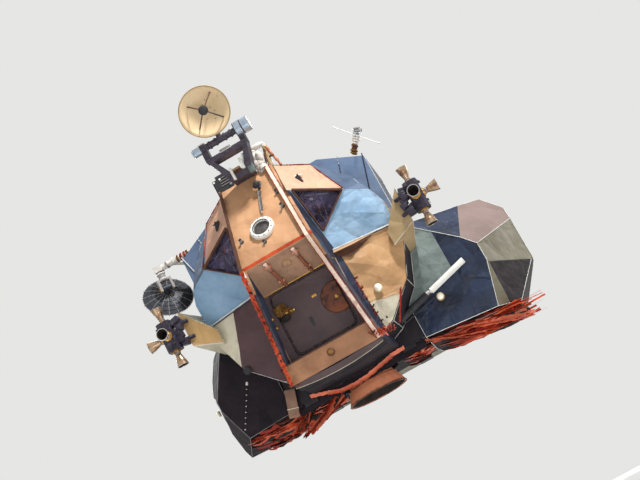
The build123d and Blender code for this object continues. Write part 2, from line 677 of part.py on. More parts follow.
with BuildPart() as radar_dish:
    add(dish(Plane(origin=dish_back, z_dir=aim), RADAR_R, RADAR_DEPTH, DISH_SKIN))
    add(tube(dish_back - aim * 4.6 * IN, dish_back + aim * 0.3 * IN, BEARING_R))
    add(tube(post_top - tilt.z_dir * 20, post_top + tilt.z_dir * 45, PIN_R + PIN_PLAY), mode=Mode.SUBTRACT)
save(radar_dish.part, "radar_dish")
FEED_REACH = 8 * IN
FEED_R = 2.3 * IN
feed_point = dish_back + aim * FEED_REACH
feed_side = Vector(1, 0, 0)
feed_up = aim.cross(feed_side).normalized()
with BuildPart() as feed:
    add(tube(feed_point - aim * 1 * IN, feed_point + aim * 1 * IN, FEED_R))
    for turn in (45, 135, 225, 315):
        spoke = feed_side * math.cos(math.radians(turn)) + feed_up * math.sin(math.radians(turn))
        add(tube(dish_back + spoke * 9.2 * IN + aim * 1.7 * IN, feed_point + spoke * 1.5 * IN, 0.3 * IN))
save(cut(feed.part, radar_dish.part), "radar_feed")

# Steerable antenna on the starboard shoulder: boom, turning head with its fork, and dish
steer_point = at(*STEER_PIVOT)
BOOM_Z = 99.5 * IN
HEAD_TOP_Z = 97.7 * IN
BRIDGE_Z = 92.9 * IN
boom_end = Vector(steer_point.X, steer_point.Y, BOOM_Z)
boom_root = Vector(-40 * IN, steer_point.Y, BOOM_Z)
with BuildPart() as boom:
    add(tube(boom_root, boom_end, 1.5 * IN))
    add(tube(boom_root + at(0, 5, -10), boom_end + at(6, 0, 0), 0.7 * IN))
    with Locations(boom_end):
        Box(4.4 * IN, 4.4 * IN, 3 * IN)
save(cut(boom.part, middle_outer), "steerable_boom")
heading = Vector(*STEER_HEADING).normalized()
elevation_axis = heading.cross(Vector(0, 0, 1)).normalized()
fork_plane = Plane(origin=steer_point, x_dir=elevation_axis, z_dir=(0, 0, 1))
with BuildPart() as head:
    add(tube(Vector(steer_point.X, steer_point.Y, BRIDGE_Z), Vector(steer_point.X, steer_point.Y, HEAD_TOP_Z), 2.0 * IN))
    with BuildSketch(fork_plane.offset(BRIDGE_Z - steer_point.Z)):
        Rectangle(7.6 * IN, 2.6 * IN)
    extrude(amount=1.0 * IN)
    for side in SIDES:
        with BuildSketch(fork_plane.offset(-1.4 * IN)):
            with Locations((side * 3.2 * IN, 0)):
                Rectangle(1.2 * IN, 2.6 * IN)
        extrude(amount=BRIDGE_Z - steer_point.Z + 1.4 * IN)
    add(tube(steer_point - elevation_axis * 3.0 * IN, steer_point + elevation_axis * 3.0 * IN, PIN_R))
save(head.part, "steerable_head")
steer_aim = heading * math.cos(math.radians(STEER_PITCH)) + Vector(0, 0, math.sin(math.radians(STEER_PITCH)))
steer_back = steer_point + steer_aim * 3.5 * IN
HUB_HALF = 2.2 * IN
with BuildPart() as steer_dish:
    add(dish(Plane(origin=steer_back, z_dir=steer_aim), STEER_R, STEER_DEPTH, DISH_SKIN))
    add(tube(steer_point - elevation_axis * HUB_HALF, steer_point + elevation_axis * HUB_HALF, 1.5 * IN))
    add(tube(steer_point, steer_back + steer_aim * 0.3 * IN, 1.2 * IN))
    add(tube(steer_back, steer_back + steer_aim * 7 * IN, 0.7 * IN))
    bore_half = elevation_axis * (HUB_HALF + 1 * IN)
    add(tube(steer_point - bore_half, steer_point + bore_half, PIN_R + PIN_PLAY), mode=Mode.SUBTRACT)
save(steer_dish.part, "steerable_dish")

# Whip antennas on both shoulders: a stalk with two crossed rods near its tip
# Columns: name, side along X and place along Y in inches
WHIPS = [("port", 1, -27), ("starboard", -1, 22)]
ROD_DROP = 4.5 * IN
ROD_R = 0.3 * IN
whips = []
for name, side, y in WHIPS:
    root = at(side * 47, y, 97.5)
    tip = root + at(side * 9.8, -1, 13.5)
    crossing = tip - (tip - root).normalized() * ROD_DROP
    whips.append(tube(root, tip, 1.3 * IN))
    # Columns: half of each rod, as x, y and z in inches
    for half in [at(side * 7.9, 0, -9.6), at(0, 9, 0)]:
        whips.append(tube(crossing - half, crossing + half, ROD_R))
save(cut(joined(*whips), middle_outer), "whip_antennas")

# Small round lamps on the front and sides
# Columns: name, place in inches and direction
LAMPS = [
    ("port cheek", at(30.2, -62.5, 26.5), Vector(0.2, -1, 0)),
    ("starboard cheek", at(-42, -57.4, 24), Vector(-0.3, -1, 0)),
    ("port bay", at(51.8, -32, 14.6), Vector(0, -1, 0)),
    ("starboard bay", at(-71, -20, 20), Vector(-1, 0, 0)),
    ("chin", at(-0.5, -78.2, 9.3), Vector(0, -1, 0)),
]
LAMP_R = 1.8 * IN
lamps = []
for name, place, facing in LAMPS:
    facing = facing.normalized()
    lamps.append(tube(place - facing * 2 * IN, place + facing * 1.6 * IN, LAMP_R))
save(cut(joined(*lamps), outer, port_bay, starboard_bay), "lamps")

# Brace bar along the front of the port bay, thicker at its outer end
BRACE_START = at(27, -36, 12.5)
BRACE_END = at(69.8, -36, 24)
BRACE_STEP = BRACE_START + (BRACE_END - BRACE_START) * 0.52
with BuildPart() as brace:
    add(tube(BRACE_START, BRACE_END, 0.8 * IN))
    add(tube(BRACE_STEP, BRACE_END, 1.5 * IN))
    for share in (0.25, 0.92):
        foot = BRACE_START + (BRACE_END - BRACE_START) * share
        add(tube(foot, foot + at(0, 6, 0), 0.7 * IN))
save(cut(brace.part, outer, middle_outer, port_bay), "port_brace")

# Insulation skirt hanging under the front edge of the middle section
with BuildPart() as skirt:
    with BuildSketch(Plane.XY.offset(-2.5 * IN)):
        with Locations((0, -28.5 * IN)):
            Rectangle(70 * IN, 1.5 * IN)
    extrude(amount=4.5 * IN)
save(cut(skirt.part, middle_outer, port_bay, starboard_bay, fittings.part), "belly_skirt")
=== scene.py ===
"""Looks of a lunar module ascent stage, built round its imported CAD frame."""
import logging
import math
import random
from dataclasses import dataclass
from enum import Enum
from typing import Callable, Sequence

import bmesh
import bpy
from mathutils import Matrix, Vector, noise


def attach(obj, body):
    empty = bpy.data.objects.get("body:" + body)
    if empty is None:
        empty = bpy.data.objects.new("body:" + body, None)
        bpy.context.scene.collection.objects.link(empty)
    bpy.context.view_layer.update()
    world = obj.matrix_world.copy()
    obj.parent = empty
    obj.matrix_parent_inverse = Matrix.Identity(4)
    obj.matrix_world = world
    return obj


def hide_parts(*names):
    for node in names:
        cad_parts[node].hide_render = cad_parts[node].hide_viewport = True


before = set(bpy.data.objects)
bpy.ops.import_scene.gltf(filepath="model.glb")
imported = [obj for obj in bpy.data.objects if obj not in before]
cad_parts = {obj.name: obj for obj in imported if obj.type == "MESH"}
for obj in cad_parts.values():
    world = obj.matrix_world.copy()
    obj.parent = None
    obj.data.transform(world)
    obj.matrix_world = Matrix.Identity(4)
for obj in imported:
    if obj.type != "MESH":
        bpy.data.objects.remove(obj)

IN = 0.0254
SIDES = (1, -1)
X_AXIS, Y_AXIS, Z_AXIS = Vector((1, 0, 0)), Vector((0, 1, 0)), Vector((0, 0, 1))
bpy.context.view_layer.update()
log = logging.getLogger("ascent_stage")

Colour = tuple[float, float, float, float]
Place = tuple[float, float, float]
Profile = Sequence[tuple[float, float]]
Rule = Callable[[Vector, Vector], bool]
FaceTest = Callable[[bmesh.types.BMFace], bool]

# Shader levels: specular level of painted film and metal, and the wander of a fade's height in metres
DULL = 0.22
FADE_WANDER = 0.09
# Shares in a film's colour: its broad tint, each cell's own tint, and the painted shade along a crease
BROAD_TINT, CELL_TINT, CREASE_SHADE_SHARE = 0.5, 0.36, 0.22


class Body(Enum):
    """The CAD bodies that pieces ride on."""

    STAGE = "stage"
    FORWARD_HATCH = "forward_hatch"
    OVERHEAD_HATCH = "overhead_hatch"
    RADAR_SHAFT = "radar_shaft"
    RADAR_DISH = "radar_dish"
    STEERABLE_HEAD = "steerable_head"
    STEERABLE_DISH = "steerable_dish"


def at(x: float, y: float, z: float) -> Vector:
    """Place given in inches, in metres."""
    return Vector((x, y, z)) * IN


def spokes(across: Vector, up: Vector, count: int, half_step: bool = False) -> list[Vector]:
    """Directions evenly round a circle, from across towards up.

    Args:
        across: the first direction.
        up: the direction a quarter turn on.
        count: how many.
        half_step: whether they start half a step on.

    Returns:
        The directions.
    """
    turns = [(k + 0.5 * half_step) * math.tau / count for k in range(count)]
    return [across * math.cos(turn) + up * math.sin(turn) for turn in turns]


def band(inner: float, outer: float, half: float, flat: float) -> list[tuple[float, float]]:
    """Profile of a raised band: its radii, and half its width at its foot and at its top."""
    return [(inner, -half), (outer, -flat), (outer, flat), (inner, half)]


def ball_radius(radius: float, depth: float) -> float:
    """Radius of the ball that a dish of some radius and depth is part of."""
    return (radius ** 2 + depth ** 2) / (2 * depth)


def bowl_rise(ball: float, radius: float) -> float:
    """Height of a dish's surface over its middle, as far out as the radius, on a ball of some radius."""
    return ball - math.sqrt(ball ** 2 - radius ** 2)


def linear(hex_colour: str) -> Colour:
    """Linear colour of a written #rrggbb one."""
    parts = [int(hex_colour[k:k + 2], 16) / 255 for k in (1, 3, 5)]
    return (*[p / 12.92 if p <= 0.04045 else ((p + 0.055) / 1.055) ** 2.4 for p in parts], 1.0)


class Socket:
    """A shader node's output, with the operators that add Math nodes."""

    def __init__(self, shader: "Shader", out: bpy.types.NodeSocket) -> None:
        """Wrap an output of a shader's node."""
        self.shader = shader
        self.out = out

    def math(self, operation: str, first: "Socket | float", second: "Socket | float") -> "Socket":
        """One Math node on two values."""
        return self.shader.node("ShaderNodeMath", {"operation": operation}, {0: first, 1: second})

    def __add__(self, other: "Socket | float") -> "Socket":
        """Sum."""
        return self.math("ADD", self, other)

    def __radd__(self, other: float) -> "Socket":
        """Sum from the right."""
        return self.math("ADD", other, self)

    def __sub__(self, other: "Socket | float") -> "Socket":
        """Difference."""
        return self.math("SUBTRACT", self, other)

    def __rsub__(self, other: float) -> "Socket":
        """Difference from the right."""
        return self.math("SUBTRACT", other, self)

    def __mul__(self, other: "Socket | float") -> "Socket":
        """Product."""
        return self.math("MULTIPLY", self, other)

    def __rmul__(self, other: float) -> "Socket":
        """Product from the right."""
        return self.math("MULTIPLY", other, self)

    def __gt__(self, other: "Socket | float") -> "Socket":
        """One where the value is above the other, else nought."""
        return self.math("GREATER_THAN", self, other)


class Shader:
    """One material's node tree, with its Principled shader ready."""

    def __init__(self, name: str) -> None:
        """Start a material with that name.

        Args:
            name: the material's name.
        """
        self.material = bpy.data.materials.new(name)
        self.material.use_nodes = True
        self.tree = self.material.node_tree
        self.surface = self.tree.nodes["Principled BSDF"]
        self.place = self.node("ShaderNodeTexCoord", {}, {}, "Object")

    def node(self, kind: str, settings: dict, sockets: dict, output: int | str = 0) -> Socket:
        """Add one node.

        Args:
            kind: the node's type.
            settings: its own settings, set first.
            sockets: value or link of each input, by name or number.
            output: the output that is returned, by name or number.

        Returns:
            The chosen output.
        """
        made = self.tree.nodes.new(kind)
        for name, value in settings.items():
            setattr(made, name, value)
        for name, value in sockets.items():
            self.feed(made.inputs[name], value)
        return Socket(self, made.outputs[output])

    def feed(self, target: bpy.types.NodeSocket, value: "Socket | float | Colour") -> None:
        """Give an input its value or its link."""
        if isinstance(value, Socket):
            self.tree.links.new(value.out, target)
        else:
            target.default_value = value

    def blend(self, share: "Socket | float", first: "Socket | Colour", second: "Socket | Colour") -> Socket:
        """Colour between two others."""
        return self.node("ShaderNodeMix", {"data_type": "RGBA"}, {0: share, 6: first, 7: second}, 2)

    def cloud(self, scale: float, detail: float, where: "Socket | None" = None) -> Socket:
        """Soft noise from nought to one at so many blots a metre."""
        sockets = {"Vector": where or self.place, "Scale": scale, "Detail": detail}
        return self.node("ShaderNodeTexNoise", {}, sockets, 0)

    def step(self, value: Socket, low: float, high: float) -> Socket:
        """Value spread from nought at low to one at high."""
        sockets = {"Value": value, "From Min": low, "From Max": high}
        return self.node("ShaderNodeMapRange", {"interpolation_type": "SMOOTHSTEP"}, sockets)

    def warped(self, scale: float, reach: float) -> Socket:
        """Object place pushed about by noise, so that cells lose their regular look."""
        sockets = {"Vector": self.place, "Scale": scale, "Detail": 2.0}
        push = self.node("ShaderNodeTexNoise", {}, sockets, "Color")
        moved = self.node("ShaderNodeVectorMath", {"operation": "SCALE"}, {0: push, "Scale": reach})
        return self.node("ShaderNodeVectorMath", {"operation": "ADD"}, {0: self.place, 1: moved})

    def folds(self, scale: float, where: Socket) -> Socket:
        """Crisp creases between flat cells, nought on each crease."""
        sockets = {"Vector": where, "Scale": scale}
        return self.node("ShaderNodeTexVoronoi", {"feature": "DISTANCE_TO_EDGE"}, sockets, "Distance")

    def height(self) -> Socket:
        """Object height in metres."""
        return self.node("ShaderNodeSeparateXYZ", {}, {0: self.place}, 2)

    def set(self, **values: "Socket | float | Colour") -> None:
        """Feed the Principled shader's inputs, spaces in their names as underscores."""
        for name, value in values.items():
            self.feed(self.surface.inputs[name.replace("_", " ")], value)

    def bump(self, height: Socket, strength: float, distance: float) -> None:
        """Raise the surface's normal by a height."""
        sockets = {"Height": height, "Strength": strength, "Distance": distance}
        self.set(Normal=self.node("ShaderNodeBump", {}, sockets))


@dataclass(frozen=True)
class Fade:
    """Second colour that a finish turns into between two heights, in inches."""

    colour: str
    begin: float
    full: float


@dataclass(frozen=True)
class Finish:
    """A finish, with the record's slot, its light and dark tints and its gloss."""

    title: str
    slot: str
    light: str
    dark: str
    rough: float = 0.5
    metal: float = 0.0
    fade: Fade | None = None

    def material(self) -> bpy.types.Material:
        """The finish's material, made once."""
        found = bpy.data.materials.get(self.title)
        if found:
            return found
        shader = Shader(self.title)
        self.dress(shader)
        return shader.material

    def faded(self, shader: Shader, colour: Socket) -> Socket:
        """Colour with the fade by height laid over it."""
        if not self.fade:
            return colour
        height = shader.height() + (shader.cloud(9, 3) - 0.5) * FADE_WANDER
        share = shader.step(height, self.fade.begin * IN, self.fade.full * IN)
        return shader.blend(share, colour, linear(self.fade.colour))

    def dress(self, shader: Shader) -> None:
        """Build the nodes; each kind of finish has its own."""
        raise NotImplementedError


@dataclass(frozen=True)
class Film(Finish):
    """Crinkled film or thin sheet with blots of stain and creases.

    Fields:
        creases: cells of crease in a metre.
        relief: strength of the creases' bump.
        stain: colour of the blots.
        share: how strongly the blots show.
    """

    creases: float = 16.0
    relief: float = 0.5
    stain: str = "#6b5646"
    share: float = 0.3

    def dress(self, shader: Shader) -> None:
        """Tint, stain, creases with painted shade along them, and gloss of the film."""
        bent = shader.warped(self.creases * 0.35, 0.5 / self.creases)
        broad = shader.folds(self.creases * 0.5, bent)
        small = shader.folds(self.creases * 1.9, bent)
        grain = shader.cloud(self.creases * 6, 4)
        sockets = {"Vector": bent, "Scale": self.creases * 0.5}
        patch = shader.node("ShaderNodeTexVoronoi", {}, sockets, "Color")
        tint = shader.step(shader.cloud(2.6, 3), 0.3, 0.7) * BROAD_TINT + patch * CELL_TINT
        colour = shader.blend(tint, linear(self.dark), linear(self.light))
        blot = shader.step(shader.cloud(7.5, 8), 0.56, 0.74) * self.share
        colour = shader.blend(blot, colour, linear(self.stain))
        # Painted shade: the film darkens towards its stain colour along the broad creases, where a cloud lets
        # it.
        where_crease_shaded = shader.step(shader.cloud(3.1, 2), 0.45, 0.65) * CREASE_SHADE_SHARE
        crease_shade = (1 - shader.step(broad, 0.0, 0.022)) * where_crease_shaded
        colour = shader.blend(crease_shade, colour, linear(self.stain))
        shader.set(Base_Color=self.faded(shader, colour), Metallic=self.metal, Specular_IOR_Level=DULL)
        shader.set(Roughness=self.rough + (grain - 0.5) * 0.3)
        shader.bump(broad + small * 0.16 + grain * 0.03, self.relief, 0.4 / self.creases)


@dataclass(frozen=True)
class Metal(Finish):
    """Machined, cast or painted metal with stains and fine grain.

    Fields:
        grain: grains in a metre.
        relief: strength of the grain's bump.
        share: how strongly the stains show.
    """

    grain: float = 90.0
    relief: float = 0.15
    share: float = 0.35

    def dress(self, shader: Shader) -> None:
        """Tint, stain, grain and gloss of the metal."""
        grain = shader.cloud(self.grain, 5)
        blot = shader.step(shader.cloud(14, 7), 0.42, 0.7)
        colour = shader.blend(blot * self.share + grain * 0.25, linear(self.light), linear(self.dark))
        shader.set(Base_Color=self.faded(shader, colour), Metallic=self.metal, Specular_IOR_Level=DULL)
        shader.set(Roughness=self.rough + (blot - 0.4) * 0.2)
        shader.bump(grain + blot * 0.4, self.relief, 0.004)


@dataclass(frozen=True)
class Glass(Finish):
    """Glass with a smeared surface and a tint mottled as painted reflection.

    Fields:
        through: how far light passes.
        glow: strength of its own light.
    """

    through: float = 0.8
    glow: float = 0.0

    def dress(self, shader: Shader) -> None:
        """Tint mottled as painted reflection, smears and gloss of the glass."""
        # Painted reflection: this noise mottles the glass's tint between its two colours; it also varies
        # alpha and roughness as smears.
        smear_and_reflection = shader.cloud(5, 3)
        colour = shader.blend(shader.step(smear_and_reflection, 0.4, 0.65), linear(self.light), linear(self.dark))
        shader.set(Base_Color=colour, Alpha=1 - self.through + smear_and_reflection * 0.12 * self.through, IOR=1.45)
        shader.set(Roughness=self.rough + smear_and_reflection * 0.12)
        if self.glow:
            shader.set(Emission_Color=linear(self.light), Emission_Strength=self.glow)


NOSE = Film(
    "nose_film", "tan_panel", "#cb9d76", "#ad805c", creases=2.6, relief=0.6, share=0.25, stain="#8a6a48"
)
BROW = Film(
    "brow_film", "tan_panel", "#d3a588", "#b88c72", creases=2.4, relief=0.6, share=0.2, stain="#b08468"
)
CHEEK = Film(
    "cheek_film", "tan_panel", "#c9a074", "#9a744e", creases=1.9, relief=0.8, share=0.35, stain="#8a6444"
)
PALE_BLUE = Film(
    "pale_blue_film", "pale_blue_panel", "#a4c0d7", "#6f90ae", 0.45, creases=1.9, relief=0.8, share=0.2,
    stain="#5a6c84"
)
PALE_GREEN = Film("pale_green_film", "pale_blue_panel", "#dcd5bd", "#b5ad98", creases=4, share=0.2)
MAUVE = Film("mauve_film", "shadow_tan", "#614f50", "#483b3d", 0.55, creases=7, relief=0.35, stain="#4a4046")
LOW_TAN = Film(
    "low_tan_film", "shadow_tan", "#b68560", "#835c44", 0.55, creases=7, relief=0.4, stain="#6a5544"
)
SOFFIT = Film(
    "soffit_film", "shadow_tan", "#b88f74", "#886a56", 0.55, creases=7, relief=0.35, stain="#4b3f38"
)
SLATE = Film(
    "slate_film", "dark_panel", "#3c4456", "#22273a", 0.45, creases=7, relief=0.4, stain="#5c3a34", share=0.35
)
SHOULDER = Film(
    "shoulder_film", "dark_panel", "#5f7088", "#3d4c62", 0.38, creases=3, relief=0.4, stain="#2a3140"
)
# Cream film; on the starboard cheek it is painted light, the sunlit part beyond the nose column's shadow.
CREAM_AND_PAINTED_LIGHT = Film("cream_and_painted_light_film", "tan_panel", "#ddd6bf", "#bbb39c", creases=6, relief=0.4, stain="#7d7460")
# Painted shade: the starboard cheek inside the nose column's shadow.
PAINTED_SHADE_TAN = Film("painted_shade_tan_film", "shadow_tan", "#63494a", "#47353a", creases=3, relief=0.4, stain="#54443c")
SIDE_TAN = Film("side_tan_film", "tan_panel", "#b39b76", "#8d7650", creases=6, relief=0.4, stain="#6e6046")
STRAP = Film("strap_film", "shadow_tan", "#a07c66", "#745a4c", creases=7, relief=0.4, stain="#4b3f38")
FAIRING_TAN = Film(
    "fairing_tan_film", "tan_panel", "#d0ad7c", "#a98757", creases=4, relief=0.6, stain="#8a6c44"
)
BAY_GREEN = Film(
    "bay_green_film", "dark_panel", "#84908d", "#606b68", creases=2.8, relief=1.0, stain="#454d50"
)
# Partly painted light: the port bay's upper outer facet, painted as sunlit film.
BAY_PINK_PAINTED_LIGHT = Film("bay_pink_painted_light_film", "tan_panel", "#8c7973", "#72625c", creases=3, relief=0.3, stain="#81645a")
# Partly painted shade: the port bay's lower outer facets, painted as shaded film.
BAY_BROWN_PAINTED_SHADE = Film(
    "bay_brown_painted_shade_film", "dark_panel", "#2d2629", "#1c181a", 0.65, creases=6, relief=0.4, stain="#463e40"
)
BAY_TAN = Film("bay_tan_film", "tan_panel", "#7b7663", "#605b4d", creases=3, relief=0.3, stain="#5d534a")
BAY_BLUE = Film(
    "bay_blue_film", "dark_panel", "#2e3a52", "#181d2c", 0.4, creases=6, relief=0.8, stain="#1d1f28"
)
# Near-black film, partly painted shade: the starboard bay and the undersides take it where they lay in
# shadow.
BAY_DARK_AND_PAINTED_SHADE = Film("bay_dark_and_painted_shade_film", "dark_panel", "#2a2128", "#141015", 0.8, creases=6, stain="#15121a")
ORANGE = Film(
    "orange_strips", "orange_film", "#d8552a", "#8a2c14", 0.38, creases=30, relief=0.4, stain="#3a1712",
    share=0.5
)
SALMON = Film(
    "salmon_film", "orange_film", "#ee8a6c", "#b8583e", 0.42, 0.1, creases=14, relief=0.6, stain="#7a3022",
    share=0.35
)
RED = Film(
    "red_film", "orange_film", "#a62c1a", "#5c1710", 0.45, creases=30, relief=0.6, stain="#241010", share=0.5
)
GOLD = Film(
    "gold_foil", "gold_film", "#a87838", "#2e1c0e", 0.3, 0.2, creases=34, relief=0.9, stain="#3a2410",
    share=0.5
)
RAIL_WHITE = Film(
    "rail_film", "white_metal", "#e8dccb", "#c9a993", 0.45, creases=20, relief=0.4, stain="#94513c",
    share=0.45
)
WHITE_WRAP = Film(
    "white_wrap", "white_metal", "#e6e2da", "#b9b2a8", creases=26, relief=0.6, stain="#8c5a34", share=0.4
)
EDGE_WHITE = Metal("edge_white", "white_metal", "#dfe0dc", "#9c9a94", 0.45, share=0.4)
WHITE = Metal("white_enamel", "white_metal", "#ecebe4", "#bcb8ae", 0.4, share=0.25)
DARK_EDGE = Metal("dark_edge", "dark_metal", "#2b2729", "#141214")
RADAR_GREY = Metal("radar_grey", "dark_metal", "#4c4652", "#28232d", share=0.5)
QUAD_GREY = Film(
    "quad_film", "dark_metal", "#433d4c", "#221f29", 0.4, creases=30, relief=0.6, stain="#8c8690", share=0.25
)
BARE = Metal("machined_metal", "bare_metal", "#c6c4c0", "#7c756e", 0.32, 0.85, share=0.5)
STEEL = Metal("trunnion_steel", "bare_metal", "#b4c3d2", "#4f5b6b", 0.3, 0.8, share=0.4)
JET = Metal("jet_metal", "bare_metal", "#b89c80", "#5a3826", 0.34, 0.75, share=0.75)
SOOT = Metal("soot", "dark_metal", "#2a2422", "#100d0d", 0.75)
GREY = Metal("grey_fitting", "grey_metal", "#a09a98", "#68625f", 0.45, 0.3)
BRASS = Metal("brass", "brass_metal", "#c89c4e", "#6d4a1e", 0.35, 0.8)
BROWN = Metal("brown_wrap", "dark_metal", "#5b3a2a", "#2c1a14", 0.6)
COPPER = Metal("copper", "copper_metal", "#c88160", "#7d452e", 0.4, 0.55, share=0.6)
BELL = Metal(
    "bell_copper", "copper_metal", "#ffa880", "#e28a64", 0.5, 0.05, fade=Fade("#6a3c2e", -5.6, -7.2),
    share=0.4
)
PIPE = Metal(
    "pipe_copper", "copper_metal", "#a86a52", "#5c3528", 0.38, 0.3, fade=Fade("#ecc9bb", 52.5, 57.0),
    share=0.7
)
VENT = Metal(
    "vent_copper", "copper_metal", "#6a4234", "#382826", 0.4, 0.45, fade=Fade("#7a4632", 31.0, 24.0),
    grain=26, relief=0.5, share=0.9
)
DISH = Film(
    "dish_cream", "dish_white", "#e4cba4", "#d0b48c", 0.55, creases=5, relief=0.03, stain="#a08a62",
    share=0.12
)
MESH_GREY = Metal("dish_grey", "dark_metal", "#3e4046", "#212328", 0.5, 0.3, grain=160, relief=0.5)
BULKHEAD = Film(
    "bulkhead_film", "dark_panel", "#7488a4", "#52637f", 0.4, fade=Fade("#1f1a20", 66, 58), creases=4,
    relief=0.15
)
INSIDE = Metal("inside_paint", "grey_metal", "#8f84a4", "#4c4260", 0.6)
BLACK_BOX = Metal("box_black", "dark_metal", "#3a3a3d", "#1c1c1f")
PANE = Glass("window_pane", "window_glass", "#75688e", "#221a2e", 0.06, through=0.82)
LENS = Glass("light_lens", "lamp_glass", "#5a5654", "#2c2a2a", 0.12, through=0.1)
LAMP = Glass("lamp_globe", "lamp_glass", "#fbf3de", "#f0dcb4", 0.25, through=0.0, glow=0.15)

# Finish of each CAD node that stays in sight
NODE_FINISH: dict[str, Finish] = {
    "cabin_floor": INSIDE,
    "instrument_panel": INSIDE,
    "midsection_floor": BAY_DARK_AND_PAINTED_SHADE,
    "forward_bulkhead": BULKHEAD,
    "aft_bulkhead": BAY_DARK_AND_PAINTED_SHADE,
    "aft_equipment": BLACK_BOX,
    "docking_tunnel": BARE,
    "overhead_hatch": WHITE,
    "docking_target": WHITE,
    "overhead_hinges": GREY,
    "engine_bell": BELL,
    "engine_block": BARE,
    "interstage_fittings": DARK_EDGE,
    "thruster_housings": QUAD_GREY,
    "thruster_jets": JET,
    "thruster_arms": QUAD_GREY,
    "forward_hatch": MAUVE,
    "hatch_hinges": GREY,
    "hatch_vent_cover": VENT,
    "recess_pipes": PIPE,
    "window_panes": PANE,
    "tracking_light": WHITE,
    "tracking_light_lens": LENS,
    "radar_pedestal": RADAR_GREY,
    "radar_box": BLACK_BOX,
    "radar_bracket": WHITE_WRAP,
    "radar_shaft": RADAR_GREY,
    "radar_dish": DISH,
    "steerable_boom": WHITE_WRAP,
    "steerable_head": GREY,
    "steerable_dish": MESH_GREY,
    "port_brace": WHITE,
}


def every_face(face: bmesh.types.BMFace) -> bool:
    """Every face."""
    return True


